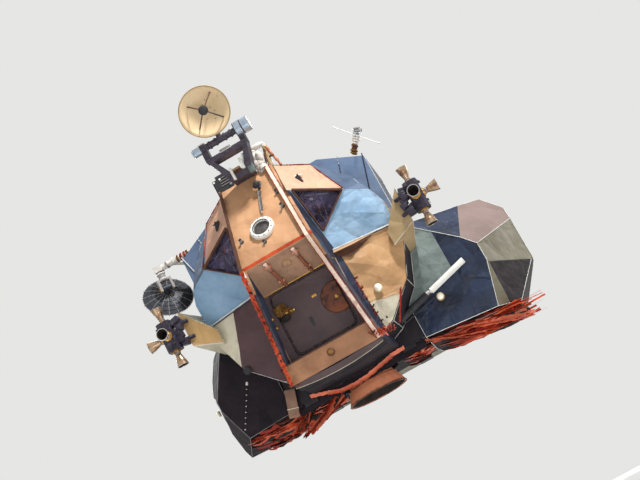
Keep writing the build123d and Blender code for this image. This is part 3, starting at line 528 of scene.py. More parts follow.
class Shape:
    """A piece in the making: a bmesh and the finishes of its faces."""

    def __init__(self, name: str, finish: Finish) -> None:
        """Start an empty piece.

        Args:
            name: the piece's name.
            finish: the finish of its faces.
        """
        self.name = name
        self.finishes = [finish]
        self.bm = bmesh.new()

    def paint(self, finish: Finish, faces: Sequence[bmesh.types.BMFace]) -> None:
        """Give some faces another finish."""
        if finish not in self.finishes:
            self.finishes.append(finish)
        for face in faces:
            face.material_index = self.finishes.index(finish)

    def new_faces(self, before: int) -> list[bmesh.types.BMFace]:
        """Faces made since there were so many."""
        self.bm.faces.ensure_lookup_table()
        return self.bm.faces[before:]

    def rod(self, start: Vector, end: Vector, radius: float, end_radius: float | None = None, sides: int = 16,
            finish: Finish | None = None) -> None:
        """Round bar, or cone, from one place to another, its radius in inches."""
        along = end - start
        place = Matrix.Translation((start + end) / 2) @ along.to_track_quat("Z", "Y").to_matrix().to_4x4()
        before = len(self.bm.faces)
        bmesh.ops.create_cone(
            self.bm, cap_ends=True, segments=sides, radius1=radius * IN,
            radius2=(radius if end_radius is None else end_radius) * IN, depth=along.length, matrix=place
        )
        if finish:
            self.paint(finish, self.new_faces(before))

    def ball(self, middle: Vector, radius: float, detail: int = 2, finish: Finish | None = None,
             stretch: Vector | None = None) -> None:
        """Ball, or an egg where it is stretched, its radius in inches."""
        size = Matrix.Diagonal((stretch or Vector((1, 1, 1))).to_4d())
        before = len(self.bm.faces)
        bmesh.ops.create_icosphere(
            self.bm, subdivisions=detail, radius=radius * IN, matrix=Matrix.Translation(middle) @ size
        )
        if finish:
            self.paint(finish, self.new_faces(before))

    def slab(self, middle: Vector, size: Vector, turn: Matrix | None = None, bevel: float = 0.002,
             finish: Finish | None = None) -> None:
        """Block with eased edges."""
        turned = (turn or Matrix.Identity(3)).to_4x4()
        place = Matrix.Translation(middle) @ turned @ Matrix.Diagonal(size.to_4d())
        before = len(self.bm.faces)
        made = bmesh.ops.create_cube(self.bm, size=1.0, matrix=place)
        edges = list({edge for vert in made["verts"] for edge in vert.link_edges})
        bmesh.ops.bevel(
            self.bm, geom=edges, offset=bevel, offset_type="OFFSET", segments=2, profile=0.5, affect="EDGES",
            material=-1
        )
        if finish:
            self.paint(finish, self.new_faces(before))

    def spun(self, middle: Vector, axis: Vector, profile: Sequence[tuple[float, float]], steps: int = 48,
             finish: Finish | None = None) -> None:
        """Ring or bowl turned about an axis.

        Args:
            middle: where the axis starts.
            axis: the axis's direction.
            profile: radius and height of each point, in inches; closed where its first point is its last.
            steps: how many steps the turn has.
            finish: the finish, where it isn't the piece's own.
        """
        turn = axis.normalized().to_track_quat("Z", "Y").to_matrix()
        before = len(self.bm.faces)
        verts = [self.bm.verts.new(middle + turn @ Vector((radius * IN, 0, height * IN)))
                 for radius, height in profile]
        edges = [self.bm.edges.new(pair) for pair in zip(verts, verts[1:])]
        bmesh.ops.spin(
            self.bm, geom=verts + edges, cent=middle, axis=axis.normalized(), angle=math.tau, steps=steps,
            use_merge=True
        )
        bmesh.ops.remove_doubles(self.bm, verts=self.bm.verts[:], dist=1e-6)
        made = self.new_faces(before)
        bmesh.ops.recalc_face_normals(self.bm, faces=made)
        if finish:
            self.paint(finish, made)

    def ribbon(
        self, route: Sequence[Vector], across: Vector, width: float, ragged: float = 0.0, seed: int = 1,
        step: float = 0.02, finish: Finish | None = None
    ) -> None:
        """Strip of film along a route, with ragged edges where they are torn.

        Args:
            route: places along the strip's middle.
            across: the direction of its width.
            width: its width in inches.
            ragged: how far its edges wander, in metres.
            seed: of the wandering.
            step: length of one cell.
            finish: the finish, where it isn't the piece's own.
        """
        draw = random.Random(seed)
        side, half = across.normalized(), width * IN / 2
        before = len(self.bm.faces)
        places = [route[0]]
        for start, end in zip(route, route[1:]):
            count = max(1, round((end - start).length / step))
            places += [start.lerp(end, k / count) for k in range(1, count + 1)]
        edge = self.bm.edges.new([self.bm.verts.new(places[0] + side * half * way) for way in (-1, 1)])
        for place in places[1:]:
            made = bmesh.ops.extrude_edge_only(self.bm, edges=[edge])["geom"]
            new_edges = [part for part in made if isinstance(part, bmesh.types.BMEdge)]
            edge = next(edge for edge in new_edges if all(vert in made for vert in edge.verts))
            near, far = edge.verts
            if (near.co - far.co).dot(side) > 0:
                near, far = far, near
            near.co = place - side * (half + draw.uniform(-ragged, ragged))
            far.co = place + side * (half + draw.uniform(-ragged, ragged))
        made = self.new_faces(before)
        bmesh.ops.recalc_face_normals(self.bm, faces=made)
        if finish:
            self.paint(finish, made)

    def torn(
        self, start: Vector, end: Vector, across: Vector, outward: Vector, length: float, count: int,
        seed: int, finishes: Sequence[Finish]
    ) -> None:
        """Tatters of torn film along a line, each a small ragged strip that stands off it.

        Args:
            start: where the line starts.
            end: where it ends.
            across: direction that the tatters lean to and from.
            outward: direction that they stand in.
            length: longest tatter in inches.
            count: how many.
            seed: of their places.
            finishes: their finishes, drawn at random.
        """
        draw = random.Random(seed)
        along, lean = (end - start).normalized(), across.normalized()
        for k in range(count):
            root = start.lerp(end, draw.random())
            reach = outward.normalized() + lean * draw.uniform(-0.8, 0.8) + along * draw.uniform(-0.7, 0.7)
            tip = root + reach * draw.uniform(0.4, 1.0) * length * IN
            middle = root.lerp(tip, 0.5) + lean * draw.uniform(-0.3, 0.3) * length * IN
            self.ribbon(
                [root, middle, tip], along + lean * draw.uniform(-0.5, 0.5), draw.uniform(0.3, 0.9), 0.004,
                seed * 31 + k, 0.012, draw.choice(finishes)
            )

    def patch(self, corners: Sequence[Vector], finish: Finish | None = None) -> None:
        """Flat piece of film between its corners."""
        before = len(self.bm.faces)
        bmesh.ops.contextual_create(self.bm, geom=[self.bm.verts.new(corner) for corner in corners])
        if finish:
            self.paint(finish, self.new_faces(before))

    def thicken(self, thickness: float) -> None:
        """Give open sheets their thickness."""
        bmesh.ops.solidify(self.bm, geom=self.bm.faces[:], thickness=thickness)

    def refine(self, cell: float, wanted: FaceTest = every_face) -> None:
        """Split the wanted faces into triangles with no edge longer than the cell."""
        bmesh.ops.triangulate(self.bm, faces=[face for face in self.bm.faces if wanted(face)])
        for _ in range(9):
            edges = {edge for face in self.bm.faces if wanted(face)
                     for edge in face.edges if edge.calc_length() > cell}
            if not edges:
                return
            bmesh.ops.subdivide_edges(self.bm, edges=list(edges), cuts=1)
            bmesh.ops.triangulate(self.bm, faces=[face for face in self.bm.faces if len(face.verts) > 3])

    def crumple(self, depth: float, folds: float, seed: float, wanted: FaceTest = every_face,
                sag: float = 0.0) -> None:
        """Push the wanted faces' corners in and out, as crushed film lies.

        Args:
            depth: how far, in metres.
            folds: folds in a metre.
            seed: of the folds.
            wanted: tells a face that is crumpled.
            sag: depth of the broad waves under the folds.
        """
        self.bm.normal_update()
        shift = Vector((seed * 7.3, seed * 3.1, seed * 5.7))
        moves = []
        for vert in self.bm.verts:
            if not any(wanted(face) for face in vert.link_faces):
                continue
            place = vert.co * folds + shift
            near, far = noise.voronoi(place)[0][:2]
            fold = min(far - near, 0.7) * 1.5 - 0.45 + 0.2 * (0.5 - abs(noise.noise(place * 2.6)) * 2.2)
            wave = noise.noise(vert.co * folds * 0.3 + shift)
            sharp = any(edge.is_manifold and edge.calc_face_angle(0) > 0.35 for edge in vert.link_edges)
            moves.append((vert, vert.normal * (fold * depth + wave * sag) * (0.3 if sharp else 1.0)))
        for vert, move in moves:
            vert.co += move

    def finish(
        self, body: Body = Body.STAGE, stands_for: Sequence[str] = (), smooth_deg: float = 35.0
    ) -> bpy.types.Object:
        """Turn the shape into a piece that rides on a body.

        Args:
            body: the body it rides on.
            stands_for: the CAD nodes that it replaces.
            smooth_deg: faces that meet at less than this are shaded smooth.

        Returns:
            The piece.
        """
        mesh = bpy.data.meshes.new(self.name)
        self.bm.to_mesh(mesh)
        self.bm.free()
        for polygon in mesh.polygons:
            polygon.use_smooth = True
        mesh.set_sharp_from_angle(angle=math.radians(smooth_deg))
        for finish in self.finishes:
            mesh.materials.append(finish.material())
        piece = bpy.data.objects.new(self.name, mesh)
        bpy.context.scene.collection.objects.link(piece)
        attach(piece, body.value)
        if stands_for:
            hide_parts(*stands_for)
        log.info("%s: %d faces on %s", self.name, len(mesh.polygons), body.value)
        return piece


@dataclass(frozen=True)
class Parting:
    """Plane that parts a facet in two, so that each half takes its own finish.

    Fields:
        through: a place on it, in inches.
        normal: the direction that it faces.
        twin: whether it has a mirror image on the other side of the craft.
    """

    through: Place
    normal: Place
    twin: bool = True

    def past(self, place: Vector) -> bool:
        """Whether a place in inches lies on the side that the plane faces."""
        x = abs(place.x) if self.twin else place.x
        return (Vector((x, place.y, place.z)) - Vector(self.through)).dot(Vector(self.normal)) > 0

    def planes(self) -> list[tuple[Vector, Vector]]:
        """Place in metres and normal of the plane, and of its mirror image."""
        (x, y, z), (east, north, up) = self.through, self.normal
        return [(at(side * x, y, z), Vector((side * east, north, up))) for side in SIDES[:1 + self.twin]]


@dataclass
class Skin:
    """One CAD skin made again as creased panels, each facet with its own finish.

    Fields:
        node: the CAD node that it stands for.
        heart: a place inside the skin, in metres, that its outer faces turn away from.
        rules: finish and test of each facet, the first that fits.
        cell: longest edge in metres.
        depth: depth of the creases in metres.
        folds: creases in a metre.
        edge: finish of the beads along the facets' edges, if any.
        edge_radius: radius of those beads in metres. They lie where facets meet at BEAD_ANGLES, in radians,
            on edges longer than LEAST_BEAD, in metres.
        cuts: planes that part a facet in two.
    """

    node: str
    heart: Vector
    rules: Sequence[tuple[Finish, Rule]]
    cell: float = 0.022
    depth: float = 0.004
    folds: float = 8.0
    edge: Finish | None = None
    edge_radius: float = 0.005
    cuts: Sequence[Parting] = ()

    BEAD_ANGLES = (0.3, 2.2)
    LEAST_BEAD = 0.12

    def outward(self, face: bmesh.types.BMFace) -> bool:
        """Whether a face is on the skin's outside."""
        return (face.calc_center_median() - self.heart).dot(face.normal) > 0.01

    def build(self) -> None:
        """Make the skin and its edge beads."""
        shape = Shape(f"{self.node}_skin", self.rules[-1][0])
        bm = shape.bm
        bm.from_mesh(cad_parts[self.node].data)
        bmesh.ops.remove_doubles(bm, verts=bm.verts[:], dist=1e-5)
        bmesh.ops.dissolve_limit(bm, angle_limit=math.radians(0.5), verts=bm.verts[:], edges=bm.edges[:])
        for place, normal in [plane for cut in self.cuts for plane in cut.planes()]:
            bmesh.ops.bisect_plane(
                bm, geom=bm.verts[:] + bm.edges[:] + bm.faces[:], plane_co=place, plane_no=normal, dist=1e-5
            )
        bm.normal_update()
        for face in bm.faces:
            place = face.calc_center_median() / IN
            shape.paint(next(finish for finish, rule in self.rules if rule(place, face.normal)), [face])
        if self.edge:
            self.beads(bm)
        shape.refine(self.cell, self.outward)
        shape.crumple(self.depth, self.folds, len(self.node), self.outward, self.depth * 0.8)
        shape.finish(stands_for=[self.node], smooth_deg=28)

    def beads(self, bm: bmesh.types.BMesh) -> None:
        """Thin bead along each outer edge where two facets meet."""
        trim = Shape(f"{self.node}_edges", self.edge)
        for edge in bm.edges:
            if edge.is_manifold and all(self.outward(face) for face in edge.link_faces):
                least, most = self.BEAD_ANGLES
                if least < edge.calc_face_angle(0) < most and edge.calc_length() > self.LEAST_BEAD:
                    start, end = (vert.co.copy() for vert in edge.verts)
                    trim.rod(start, end, self.edge_radius / IN, sides=6)
        trim.finish()


def anywhere(place: Vector, normal: Vector) -> bool:
    """Every facet."""
    return True


@dataclass
class Studio:
    """Camera, lamps, sky and floor.

    Fields:
        place: the camera's place in metres.
        turn_deg: its azimuth, elevation and roll.
        focal_px: its focal length in pixels of the frame.
        frame_px: the frame's width.
        floor_z: height of the floor in metres.
        floor_fade: how far from the craft the floor starts to fade and is gone, in metres.
        aim: where the lamps look, in metres.
        soft_lamps: name, place, size and watts of each: a key from the picture's upper right, and fills.
        ambient: the sky's own light on the craft.
        backdrop: the sky's colour where it is seen.
    """

    place: Vector
    turn_deg: tuple[float, float, float] = (6.05, -15.57, 28.26)
    focal_px: float = 1247.1
    frame_px: int = 640
    floor_z: float = -2.46
    floor_fade: tuple[float, float] = (5.5, 11.0)
    aim: Place = (0, 0, 1.3)
    soft_lamps: tuple[tuple[str, Place, float, float], ...] = (
        ("key", (4.9, -4.4, 9.7), 0.9, 1500),
        ("front_fill", (-5.5, -9.0, 1.0), 5.0, 105),
        ("low_fill", (2.0, -8.0, -1.9), 4.0, 165),
        ("back_fill", (-5.0, 8.0, 6.0), 4.0, 600),
        ("side_fill", (9.0, 4.0, 3.0), 4.0, 300),
    )
    ambient: Colour = (0.22, 0.23, 0.26, 1)
    backdrop: str = "#e6e6e4"

    def camera(self) -> None:
        """Set the camera where the photograph was taken from."""
        azimuth, elevation, roll = (math.radians(part) for part in self.turn_deg)
        level = math.cos(elevation)
        back = Vector((math.sin(azimuth) * level, -math.cos(azimuth) * level, math.sin(elevation)))
        right = Vector((math.cos(azimuth), math.sin(azimuth), 0))
        up = back.cross(right).normalized()
        across = right * math.cos(roll) - up * math.sin(roll)
        upward = right * math.sin(roll) + up * math.cos(roll)
        data = bpy.data.cameras.new("camera")
        data.lens = self.focal_px / self.frame_px * data.sensor_width
        data.clip_end = 200
        eye = bpy.data.objects.new("camera", data)
        bpy.context.scene.collection.objects.link(eye)
        turned = Matrix((across, upward, back)).transposed().to_4x4()
        eye.matrix_world = Matrix.Translation(self.place) @ turned
        bpy.context.scene.camera = eye

    def lamp(self, name: str, place: Vector, size: float, watts: float) -> None:
        """Add one square soft lamp that looks at the craft's middle."""
        data = bpy.data.lights.new(name, "AREA")
        data.size, data.energy = size, watts
        lamp = bpy.data.objects.new(name, data)
        bpy.context.scene.collection.objects.link(lamp)
        aim = Vector(self.aim) - place
        lamp.matrix_world = Matrix.Translation(place) @ aim.to_track_quat("-Z", "Y").to_matrix().to_4x4()

    def surroundings(self) -> None:
        """Pale floor and pale sky."""
        bm = bmesh.new()
        bmesh.ops.create_grid(
            bm, x_segments=1, y_segments=1, size=60, matrix=Matrix.Translation((0, 0, self.floor_z))
        )
        mesh = bpy.data.meshes.new("floor")
        bm.to_mesh(mesh)
        bm.free()
        floor = bpy.data.objects.new("floor", mesh)
        bpy.context.scene.collection.objects.link(floor)
        shader = Shader("floor_paint")
        paint = shader.blend(shader.cloud(2, 3), linear("#e9e8e5"), linear("#e3e2de"))
        shader.set(Base_Color=paint, Roughness=0.9)
        away = shader.node("ShaderNodeVectorMath", {"operation": "LENGTH"}, {0: shader.place}, "Value")
        shader.set(Alpha=1 - shader.step(away, *self.floor_fade))
        floor.data.materials.append(shader.material)
        world = bpy.data.worlds.new("sky")
        world.use_nodes = True
        bpy.context.scene.world = world
        tree = world.node_tree
        path = tree.nodes.new("ShaderNodeLightPath")
        seen = None
        for ray in ("Is Camera Ray", "Is Glossy Ray", "Is Transmission Ray"):
            both = tree.nodes.new("ShaderNodeMath")
            both.operation = "MAXIMUM"
            tree.links.new(path.outputs[ray], both.inputs[0])
            if seen:
                tree.links.new(seen, both.inputs[1])
            seen = both.outputs[0]
        shade = tree.nodes.new("ShaderNodeMix")
        shade.data_type = "RGBA"
        tree.links.new(seen, shade.inputs[0])
        shade.inputs[6].default_value = self.ambient
        shade.inputs[7].default_value = linear(self.backdrop)
        tree.links.new(shade.outputs[2], tree.nodes["Background"].inputs["Color"])

    def build(self) -> None:
        """Set up the whole studio."""
        self.camera()
        for name, place, size, watts in self.soft_lamps:
            self.lamp(name, Vector(place), size, watts)
        self.surroundings()
        bpy.context.scene.view_settings.view_transform = "Standard"


# Lines on which a facet changes its finish
BROW_EDGE = Parting((28.9, -53.4, 97.2), (0.745, 0.665, 0.03))
WINDOW_EDGE = Parting((20.1, 0, 60.9), (1, 0, 0.143))
CHEEK_EDGE = Parting((22.4, 0, 50), (1, 0, 0.055))
# Edge of the nose column's painted shadow on the starboard cheek
CHEEK_SHADOW_EDGE = Parting((-44, 0, 27), (1, 0, -0.345), False)
BAY_UPRIGHT = Parting((63, 0, 0), (1, 0, 0), False)
BAY_SLANT = Parting((29.4, 0, 13.8), (-0.29, 0, 1), False)


@dataclass
class PressureShell:
    """Creased skins of the cabin, the middle section, the aft bay and the tank bays.

    Fields:
        nose_heart: a place inside the nose column.
        cabin_heart: a place inside the cabin.
        middle_heart: a place inside the middle section.
        bulkhead_y: where the seams of the forward bulkhead lie, in inches.
        bay_seam: top and foot of the stitched seam on the starboard bay, in inches.
    """

    nose_heart: Vector
    cabin_heart: Vector
    middle_heart: Vector
    bulkhead_y: float = -30.2
    bay_seam: tuple[Place, Place] = ((-50.6, -32.4, 24.0), (-61.4, -32.4, 4.8))

    def face_skins(self) -> list[Skin]:
        """Skins of the craft's face."""
        return [
            Skin("nose_panel", self.nose_heart, [
                (SLATE, lambda p, n: abs(n.x) > 0.8),
                (SOFFIT, lambda p, n: n.z < -0.2 and n.y < 0.2),
                (NOSE, anywhere),
            ], 0.018, 0.006, 3.6),
            Skin("window_panels", self.cabin_heart, [
                (SLATE, lambda p, n: n.y < -0.6 and n.z < 0.3 and not WINDOW_EDGE.past(p)),
                (SHOULDER, lambda p, n: n.z > 0.3 and n.y < -0.5 and BROW_EDGE.past(p)),
                (BROW, lambda p, n: n.z > 0.3 and n.y < -0.5),
                (PALE_BLUE, lambda p, n: n.y < -0.6),
                (SHOULDER, anywhere),
            ], 0.018, 0.013, 3.6, cuts=[BROW_EDGE, WINDOW_EDGE]),
            Skin("cheek_panels", self.cabin_heart, [
                (SLATE, lambda p, n: n.y < -0.5 and not CHEEK_EDGE.past(p)),
                (PALE_GREEN, lambda p, n: n.z < -0.1 and p.z < 24 and n.y < -0.5 and p.x > 0),
                (CHEEK, lambda p, n: n.y < -0.6 and p.x > 0),
                # Starboard cheek: painted light beyond the shadow edge, painted shade inside it
                (CREAM_AND_PAINTED_LIGHT, lambda p, n: n.y < -0.6 and not CHEEK_SHADOW_EDGE.past(p)),
                (PAINTED_SHADE_TAN, lambda p, n: n.y < -0.6),
                (BAY_DARK_AND_PAINTED_SHADE, anywhere),
            ], 0.018, 0.013, 3.6, cuts=[CHEEK_SHADOW_EDGE, CHEEK_EDGE]),
            Skin("hatch_surround", self.nose_heart, [
                (SLATE, lambda p, n: abs(n.x) > 0.8 and abs(p.x) > 19),
                (MAUVE, anywhere),
            ], 0.03, 0.002, 8),
            Skin("chin_panel", self.nose_heart, [
                (SLATE, lambda p, n: abs(n.x) > 0.8),
                (LOW_TAN, lambda p, n: n.y < -0.6),
                (BAY_DARK_AND_PAINTED_SHADE, anywhere),
            ], 0.02, 0.004, 8),
        ]

    def body_skins(self) -> list[Skin]:
        """Skins of the rest of the craft."""
        return [
            Skin("cabin_barrel", self.cabin_heart, [
                (SIDE_TAN, lambda p, n: abs(n.x) > 0.85 and n.z > -0.1 and p.x > 0),
                (SHOULDER, lambda p, n: n.z > -0.1),
                (BAY_DARK_AND_PAINTED_SHADE, anywhere),
            ], 0.03, 0.003, 5, EDGE_WHITE, 0.004),
            Skin("midsection_deck", self.middle_heart, [(SHOULDER, anywhere)], 0.04, 0.003, 5, EDGE_WHITE),
            Skin("midsection_walls", self.middle_heart, [(BAY_BLUE, anywhere)], 0.04, 0.004, 5, EDGE_WHITE),
            Skin("aft_bay", at(0, 45, 52), [
                (BAY_DARK_AND_PAINTED_SHADE, lambda p, n: n.y > 0.8),
                (BAY_TAN, lambda p, n: n.z < 0.3),
                (SHOULDER, anywhere),
            ], 0.04, 0.004, 5, EDGE_WHITE),
            # The port bay's facet finishes are partly painted light: the pink upper outer facet is painted
            # sunlit and the brown lower outer facets painted shade.
            Skin("port_tank_bay", at(71, 0, 24), [
                (BAY_DARK_AND_PAINTED_SHADE, lambda p, n: n.z < -0.8),
                (BAY_GREEN, lambda p, n: abs(n.y) > 0.9 and not BAY_UPRIGHT.past(p) and BAY_SLANT.past(p)),
                (BAY_BLUE, lambda p, n: abs(n.y) > 0.9 or n.x < -0.5),
                (BAY_PINK_PAINTED_LIGHT, lambda p, n: p.x > 80 and p.z > 33),
                (BAY_TAN, lambda p, n: p.x > 84 and p.z > 19),
                (BAY_BROWN_PAINTED_SHADE, lambda p, n: p.x > 82),
                (BAY_TAN, lambda p, n: n.x > 0.3 and n.z < 0.1),
                (BAY_BLUE, anywhere),
            ], 0.026, 0.006, 4, EDGE_WHITE, 0.0035, [BAY_UPRIGHT, BAY_SLANT]),
            # Painted shade: the whole starboard bay is near-black film.
            Skin("starboard_tank_bay", at(-45, 0, 24), [(BAY_DARK_AND_PAINTED_SHADE, anywhere)], 0.03, 0.006, 4, GREY, 0.0025),
            Skin("thruster_fairings", at(0, 0, 54), [
                (SIDE_TAN, lambda p, n: p.x > 0),
                (FAIRING_TAN, lambda p, n: n.y < -0.5),
                (CREAM_AND_PAINTED_LIGHT, anywhere),
            ], 0.025, 0.003, 8, EDGE_WHITE, 0.0025),
        ]

    def seams(self) -> None:
        """Seams down the forward bulkhead's shoulders and across the starboard bay's face."""
        seams = Shape("panel_seams", DARK_EDGE)
        for side in SIDES:
            y = self.bulkhead_y
            seams.rod(at(side * 52.3, y, 97.0), at(side * 46.8, y, 78.0), 0.3, sides=6)
            top, foot = at(side * 40.8, y, 102.0), at(side * 38.0, y, 91.5)
            for k in range(7):
                seams.rod(
                    top.lerp(foot, k / 7), top.lerp(foot, (k + 0.6) / 7), 0.24, sides=6, finish=EDGE_WHITE
                )
        top, foot = (at(*place) for place in self.bay_seam)
        seams.rod(top, foot, 0.28, sides=6, finish=EDGE_WHITE)
        seams.slab(top, at(1.2, 0.8, 1.8), Matrix.Rotation(0.5, 3, "Y"), 0.004, SIDE_TAN)
        for k in range(1, 9):
            seams.ball(top.lerp(foot, k / 8), 0.4, 1, EDGE_WHITE)
        seams.finish()

    def build(self) -> None:
        """Make every skin and the seams."""
        for skin in self.face_skins() + self.body_skins():
            skin.build()
        self.seams()


TORN = (ORANGE, ORANGE, ORANGE, RED, RED, SALMON, SOOT)


@dataclass
class NoseColumn:
    """Trim of the nose panel, its rails and the recess above and below the hatch.

    Fields:
        lip: place along Y and height of the nose's lip, in inches.
        top: the same of its top.
        foot: the same of its foot.
        edge_x: half width of the column at its top, lip and foot, in inches.
        rail_width: width of a rail in inches.
        rail_lift: how far the rails stand proud, in inches.
        rail_drift: how far the bent rails stray to starboard at their top, lip and foot, in inches.
        recess_out: the direction that the ceiling of the hatch recess faces.
        recess_y: where the recess's corners lie at the hatch, in inches.
        apron_end: half width, place along Y and height of the chin apron's ends, in inches.
        apron_sag: how far its middle hangs below them, in inches.
    """

    lip: tuple[float, float] = (-86, 58)
    top: tuple[float, float] = (-62, 104.5)
    foot: tuple[float, float] = (-77, 3.5)
    edge_x: tuple[float, float, float] = (13.9, 18.2, 23.3)
    rail_width: float = 2.2
    rail_lift: float = 2.1
    rail_drift: tuple[float, float, float] = (1.3, 1.3, 0.5)
    recess_out: Place = (0, -0.562, -0.827)
    recess_y: float = -70.3
    apron_end: Place = (22.3, -75.4, 3.6)
    apron_sag: float = 2.0

    def on_nose(self, x: float, z: float, lift: float = 0.0) -> Vector:
        """Place on the nose panel at a height in inches, lifted off it."""
        share = (z - self.lip[1]) / (self.top[1] - self.lip[1])
        y = self.lip[0] + share * (self.top[0] - self.lip[0])
        return at(x, y, z) + self.nose_out() * lift * IN

    def on_foot(self, x: float, z: float, lift: float = 0.0) -> Vector:
        """Place on the leaning face below the lip, lifted off it."""
        share = (z - self.foot[1]) / (self.lip[1] - self.foot[1])
        return at(x, self.foot[0] + share * (self.lip[0] - self.foot[0]) - lift, z)

    def nose_out(self) -> Vector:
        """Direction that the nose panel faces."""
        return Vector((0, self.lip[1] - self.top[1], self.top[0] - self.lip[0])).normalized()

    def rail_route(self, side: int, lift: float, inset: float) -> list[Vector]:
        """Middle line of one rail from the nose's top to its foot."""
        kinks = zip(self.rail_drift, self.edge_x, (self.top, self.lip, self.foot))
        return [at(side * (x - inset) - drift, y - lift, z) for drift, x, (y, z) in kinks]

    def rails(self) -> None:
        """White port rail with wear-marked red edges, and the starboard rail with its film torn to strips."""
        port = self.rail_route(1, self.rail_lift, self.rail_width / 2)
        wrap = Shape("port_rail_wrap", RAIL_WHITE)
        wrap.ribbon(port, X_AXIS, self.rail_width, 0.0015, 3)
        wrap.thicken(0.012)
        wrap.crumple(0.0015, 18, 2)
        wrap.finish(stands_for=["face_rails"])
        webs = Shape("rail_webs", SLATE)
        for side in SIDES:
            route = self.rail_route(side, self.rail_lift * 0.48, 0.6)
            webs.ribbon(route, Y_AXIS, self.rail_lift * 0.95, 0.0, 3)
        webs.thicken(0.008)
        webs.finish()
        edges = Shape("port_rail_edges", RED)
        for inset in (0.05, self.rail_width - 0.05):
            edges.ribbon(
                self.rail_route(1, self.rail_lift + 0.3, inset), X_AXIS, 0.28, 0.0022, 5 + round(inset)
            )
        edges.torn(
            at(22.6, -65.8, 36), at(23.8, -65.4, 14), Vector((1, 0.3, 0)), Vector((0.6, -0.8, 0.1)), 1.7, 40,
            4, (RED, RED, SOOT, ORANGE)
        )
        edges.thicken(0.002)
        edges.finish()
        starboard = self.rail_route(-1, self.rail_lift, self.rail_width / 2)
        upper = Shape("starboard_rail_upper", BROWN)
        upper.ribbon(starboard[:2], X_AXIS, self.rail_width * 0.7, 0.0015, 6)
        upper.thicken(0.004)
        upper.slab(self.on_foot(-18.4, 55.2, 0.8), at(1.9, 1.4, 6.0), finish=WHITE)
        upper.slab(self.on_foot(-18.0, 53.6, 1.6), at(1.2, 0.5, 2.6), finish=ORANGE)
        upper.finish()
        torn = Shape("starboard_rail_torn", ORANGE)
        torn.ribbon(starboard[1:], X_AXIS, 1.9, 0.008, 8)
        for start, end, outward, *rest in [
            (starboard[1], starboard[2], (-0.3, -0.6, 0.5), 1.3, 30, 9, (ORANGE, ORANGE, RED, RED, SOOT)),
            (starboard[1], starboard[2], (0.5, -0.4, -0.8), 1.5, 34, 10, (ORANGE, RED, SOOT, SOOT)),
            (at(-21.6, -81, 33), at(-22.6, -79.5, 22), (0.9, -1, 0), 1.4, 16, 12, (RED, SOOT, ORANGE)),
            (at(-23.4, -78.5, 14), at(-24.2, -77, 3), (-0.6, -1, 0), 1.6, 16, 13, (RED, SOOT, ORANGE, GOLD)),
        ]:
            torn.torn(start, end, X_AXIS, Vector(outward), *rest)
        torn.thicken(0.0015)
        torn.crumple(0.003, 26, 3)
        torn.finish()

    def nose_fittings(self) -> None:
        """Orange strip along the lip, the ball antenna on its stem with a dark bar painted as its shadow, and
        the short posts.
        """
        slope = self.on_nose(0, 104) - self.on_nose(0, 58)
        strip = Shape("nose_lip_strip", ORANGE)
        edge = [self.on_nose(x, 58.9, lift) for x, lift in ((-18.3, 0.2), (0, 0.25), (18.3, 0.2))]
        strip.ribbon(edge, slope, 1.9, 0.003, 21, 0.018)
        strip.thicken(0.002)
        strip.crumple(0.002, 22, 5)
        strip.finish()
        ball = Shape("nose_ball_antenna", BLACK_BOX)
        root = self.on_nose(4.0, 95.4)
        ball.rod(root, self.on_nose(4.0, 95.4, 2.6), 0.8, 0.5)
        ball.ball(self.on_nose(4.0, 95.4, 3.4), 1.6, 3)
        ball.spun(self.on_nose(4.0, 95.4, 2.4), self.nose_out(), [(2.1, 0), (2.3, 0.1), (1.2, 0.5), (1.0, 0)])
        # Painted shadow: a dark bar from the ball down towards the tracking light, where the antenna's shadow
        # falls, with a thin white bar beside it.
        ball.rod(self.on_nose(3.7, 93.4, 1.2), self.on_nose(1.0, 81.5, 0.9), 0.55)
        ball.rod(self.on_nose(3.2, 93.4, 1.6), self.on_nose(0.6, 82.5, 1.3), 0.22, finish=WHITE)
        ball.rod(self.on_nose(2.3, 88, 0), self.on_nose(2.3, 88, 1.3), 0.4, finish=BARE)
        ball.finish()
        posts = Shape("nose_posts", GREY)
        for x, z, length in [(-13.4, 73, 1.8), (10.6, 79.0, 2.2), (-3.4, 66.4, 1.2), (10.9, 88.0, 1.5)]:
            posts.rod(self.on_nose(x, z), self.on_nose(x, z, length), 0.55, 0.4, 12)
            posts.rod(self.on_nose(x, z, length), self.on_nose(x, z, length + 0.35), 0.8, 0.7, 12, WHITE)
            ring = [(1.1, 0), (1.0, 0.2), (0.5, 0.2)]
            posts.spun(self.on_nose(x, z, 0.05), self.nose_out(), ring, 16, DARK_EDGE)
        posts.finish()
        light = Shape("tracking_light_screws", GREY)
        centre, turn = self.on_nose(-2.0, 73.5, 1.9), self.nose_out().to_track_quat("Z", "Y")
        for spoke in spokes(X_AXIS, Y_AXIS, 12):
            foot = centre + turn @ spoke * 5.3 * IN
            light.rod(foot, foot + self.nose_out() * 0.45 * IN, 0.3, sides=6)
        ring = [(4.3, 0.4), (4.3, 0.75), (4.0, 0.75), (4.0, 0.4)]
        light.spun(centre - self.nose_out() * 0.3 * IN, self.nose_out(), ring, finish=DARK_EDGE)
        light.finish()

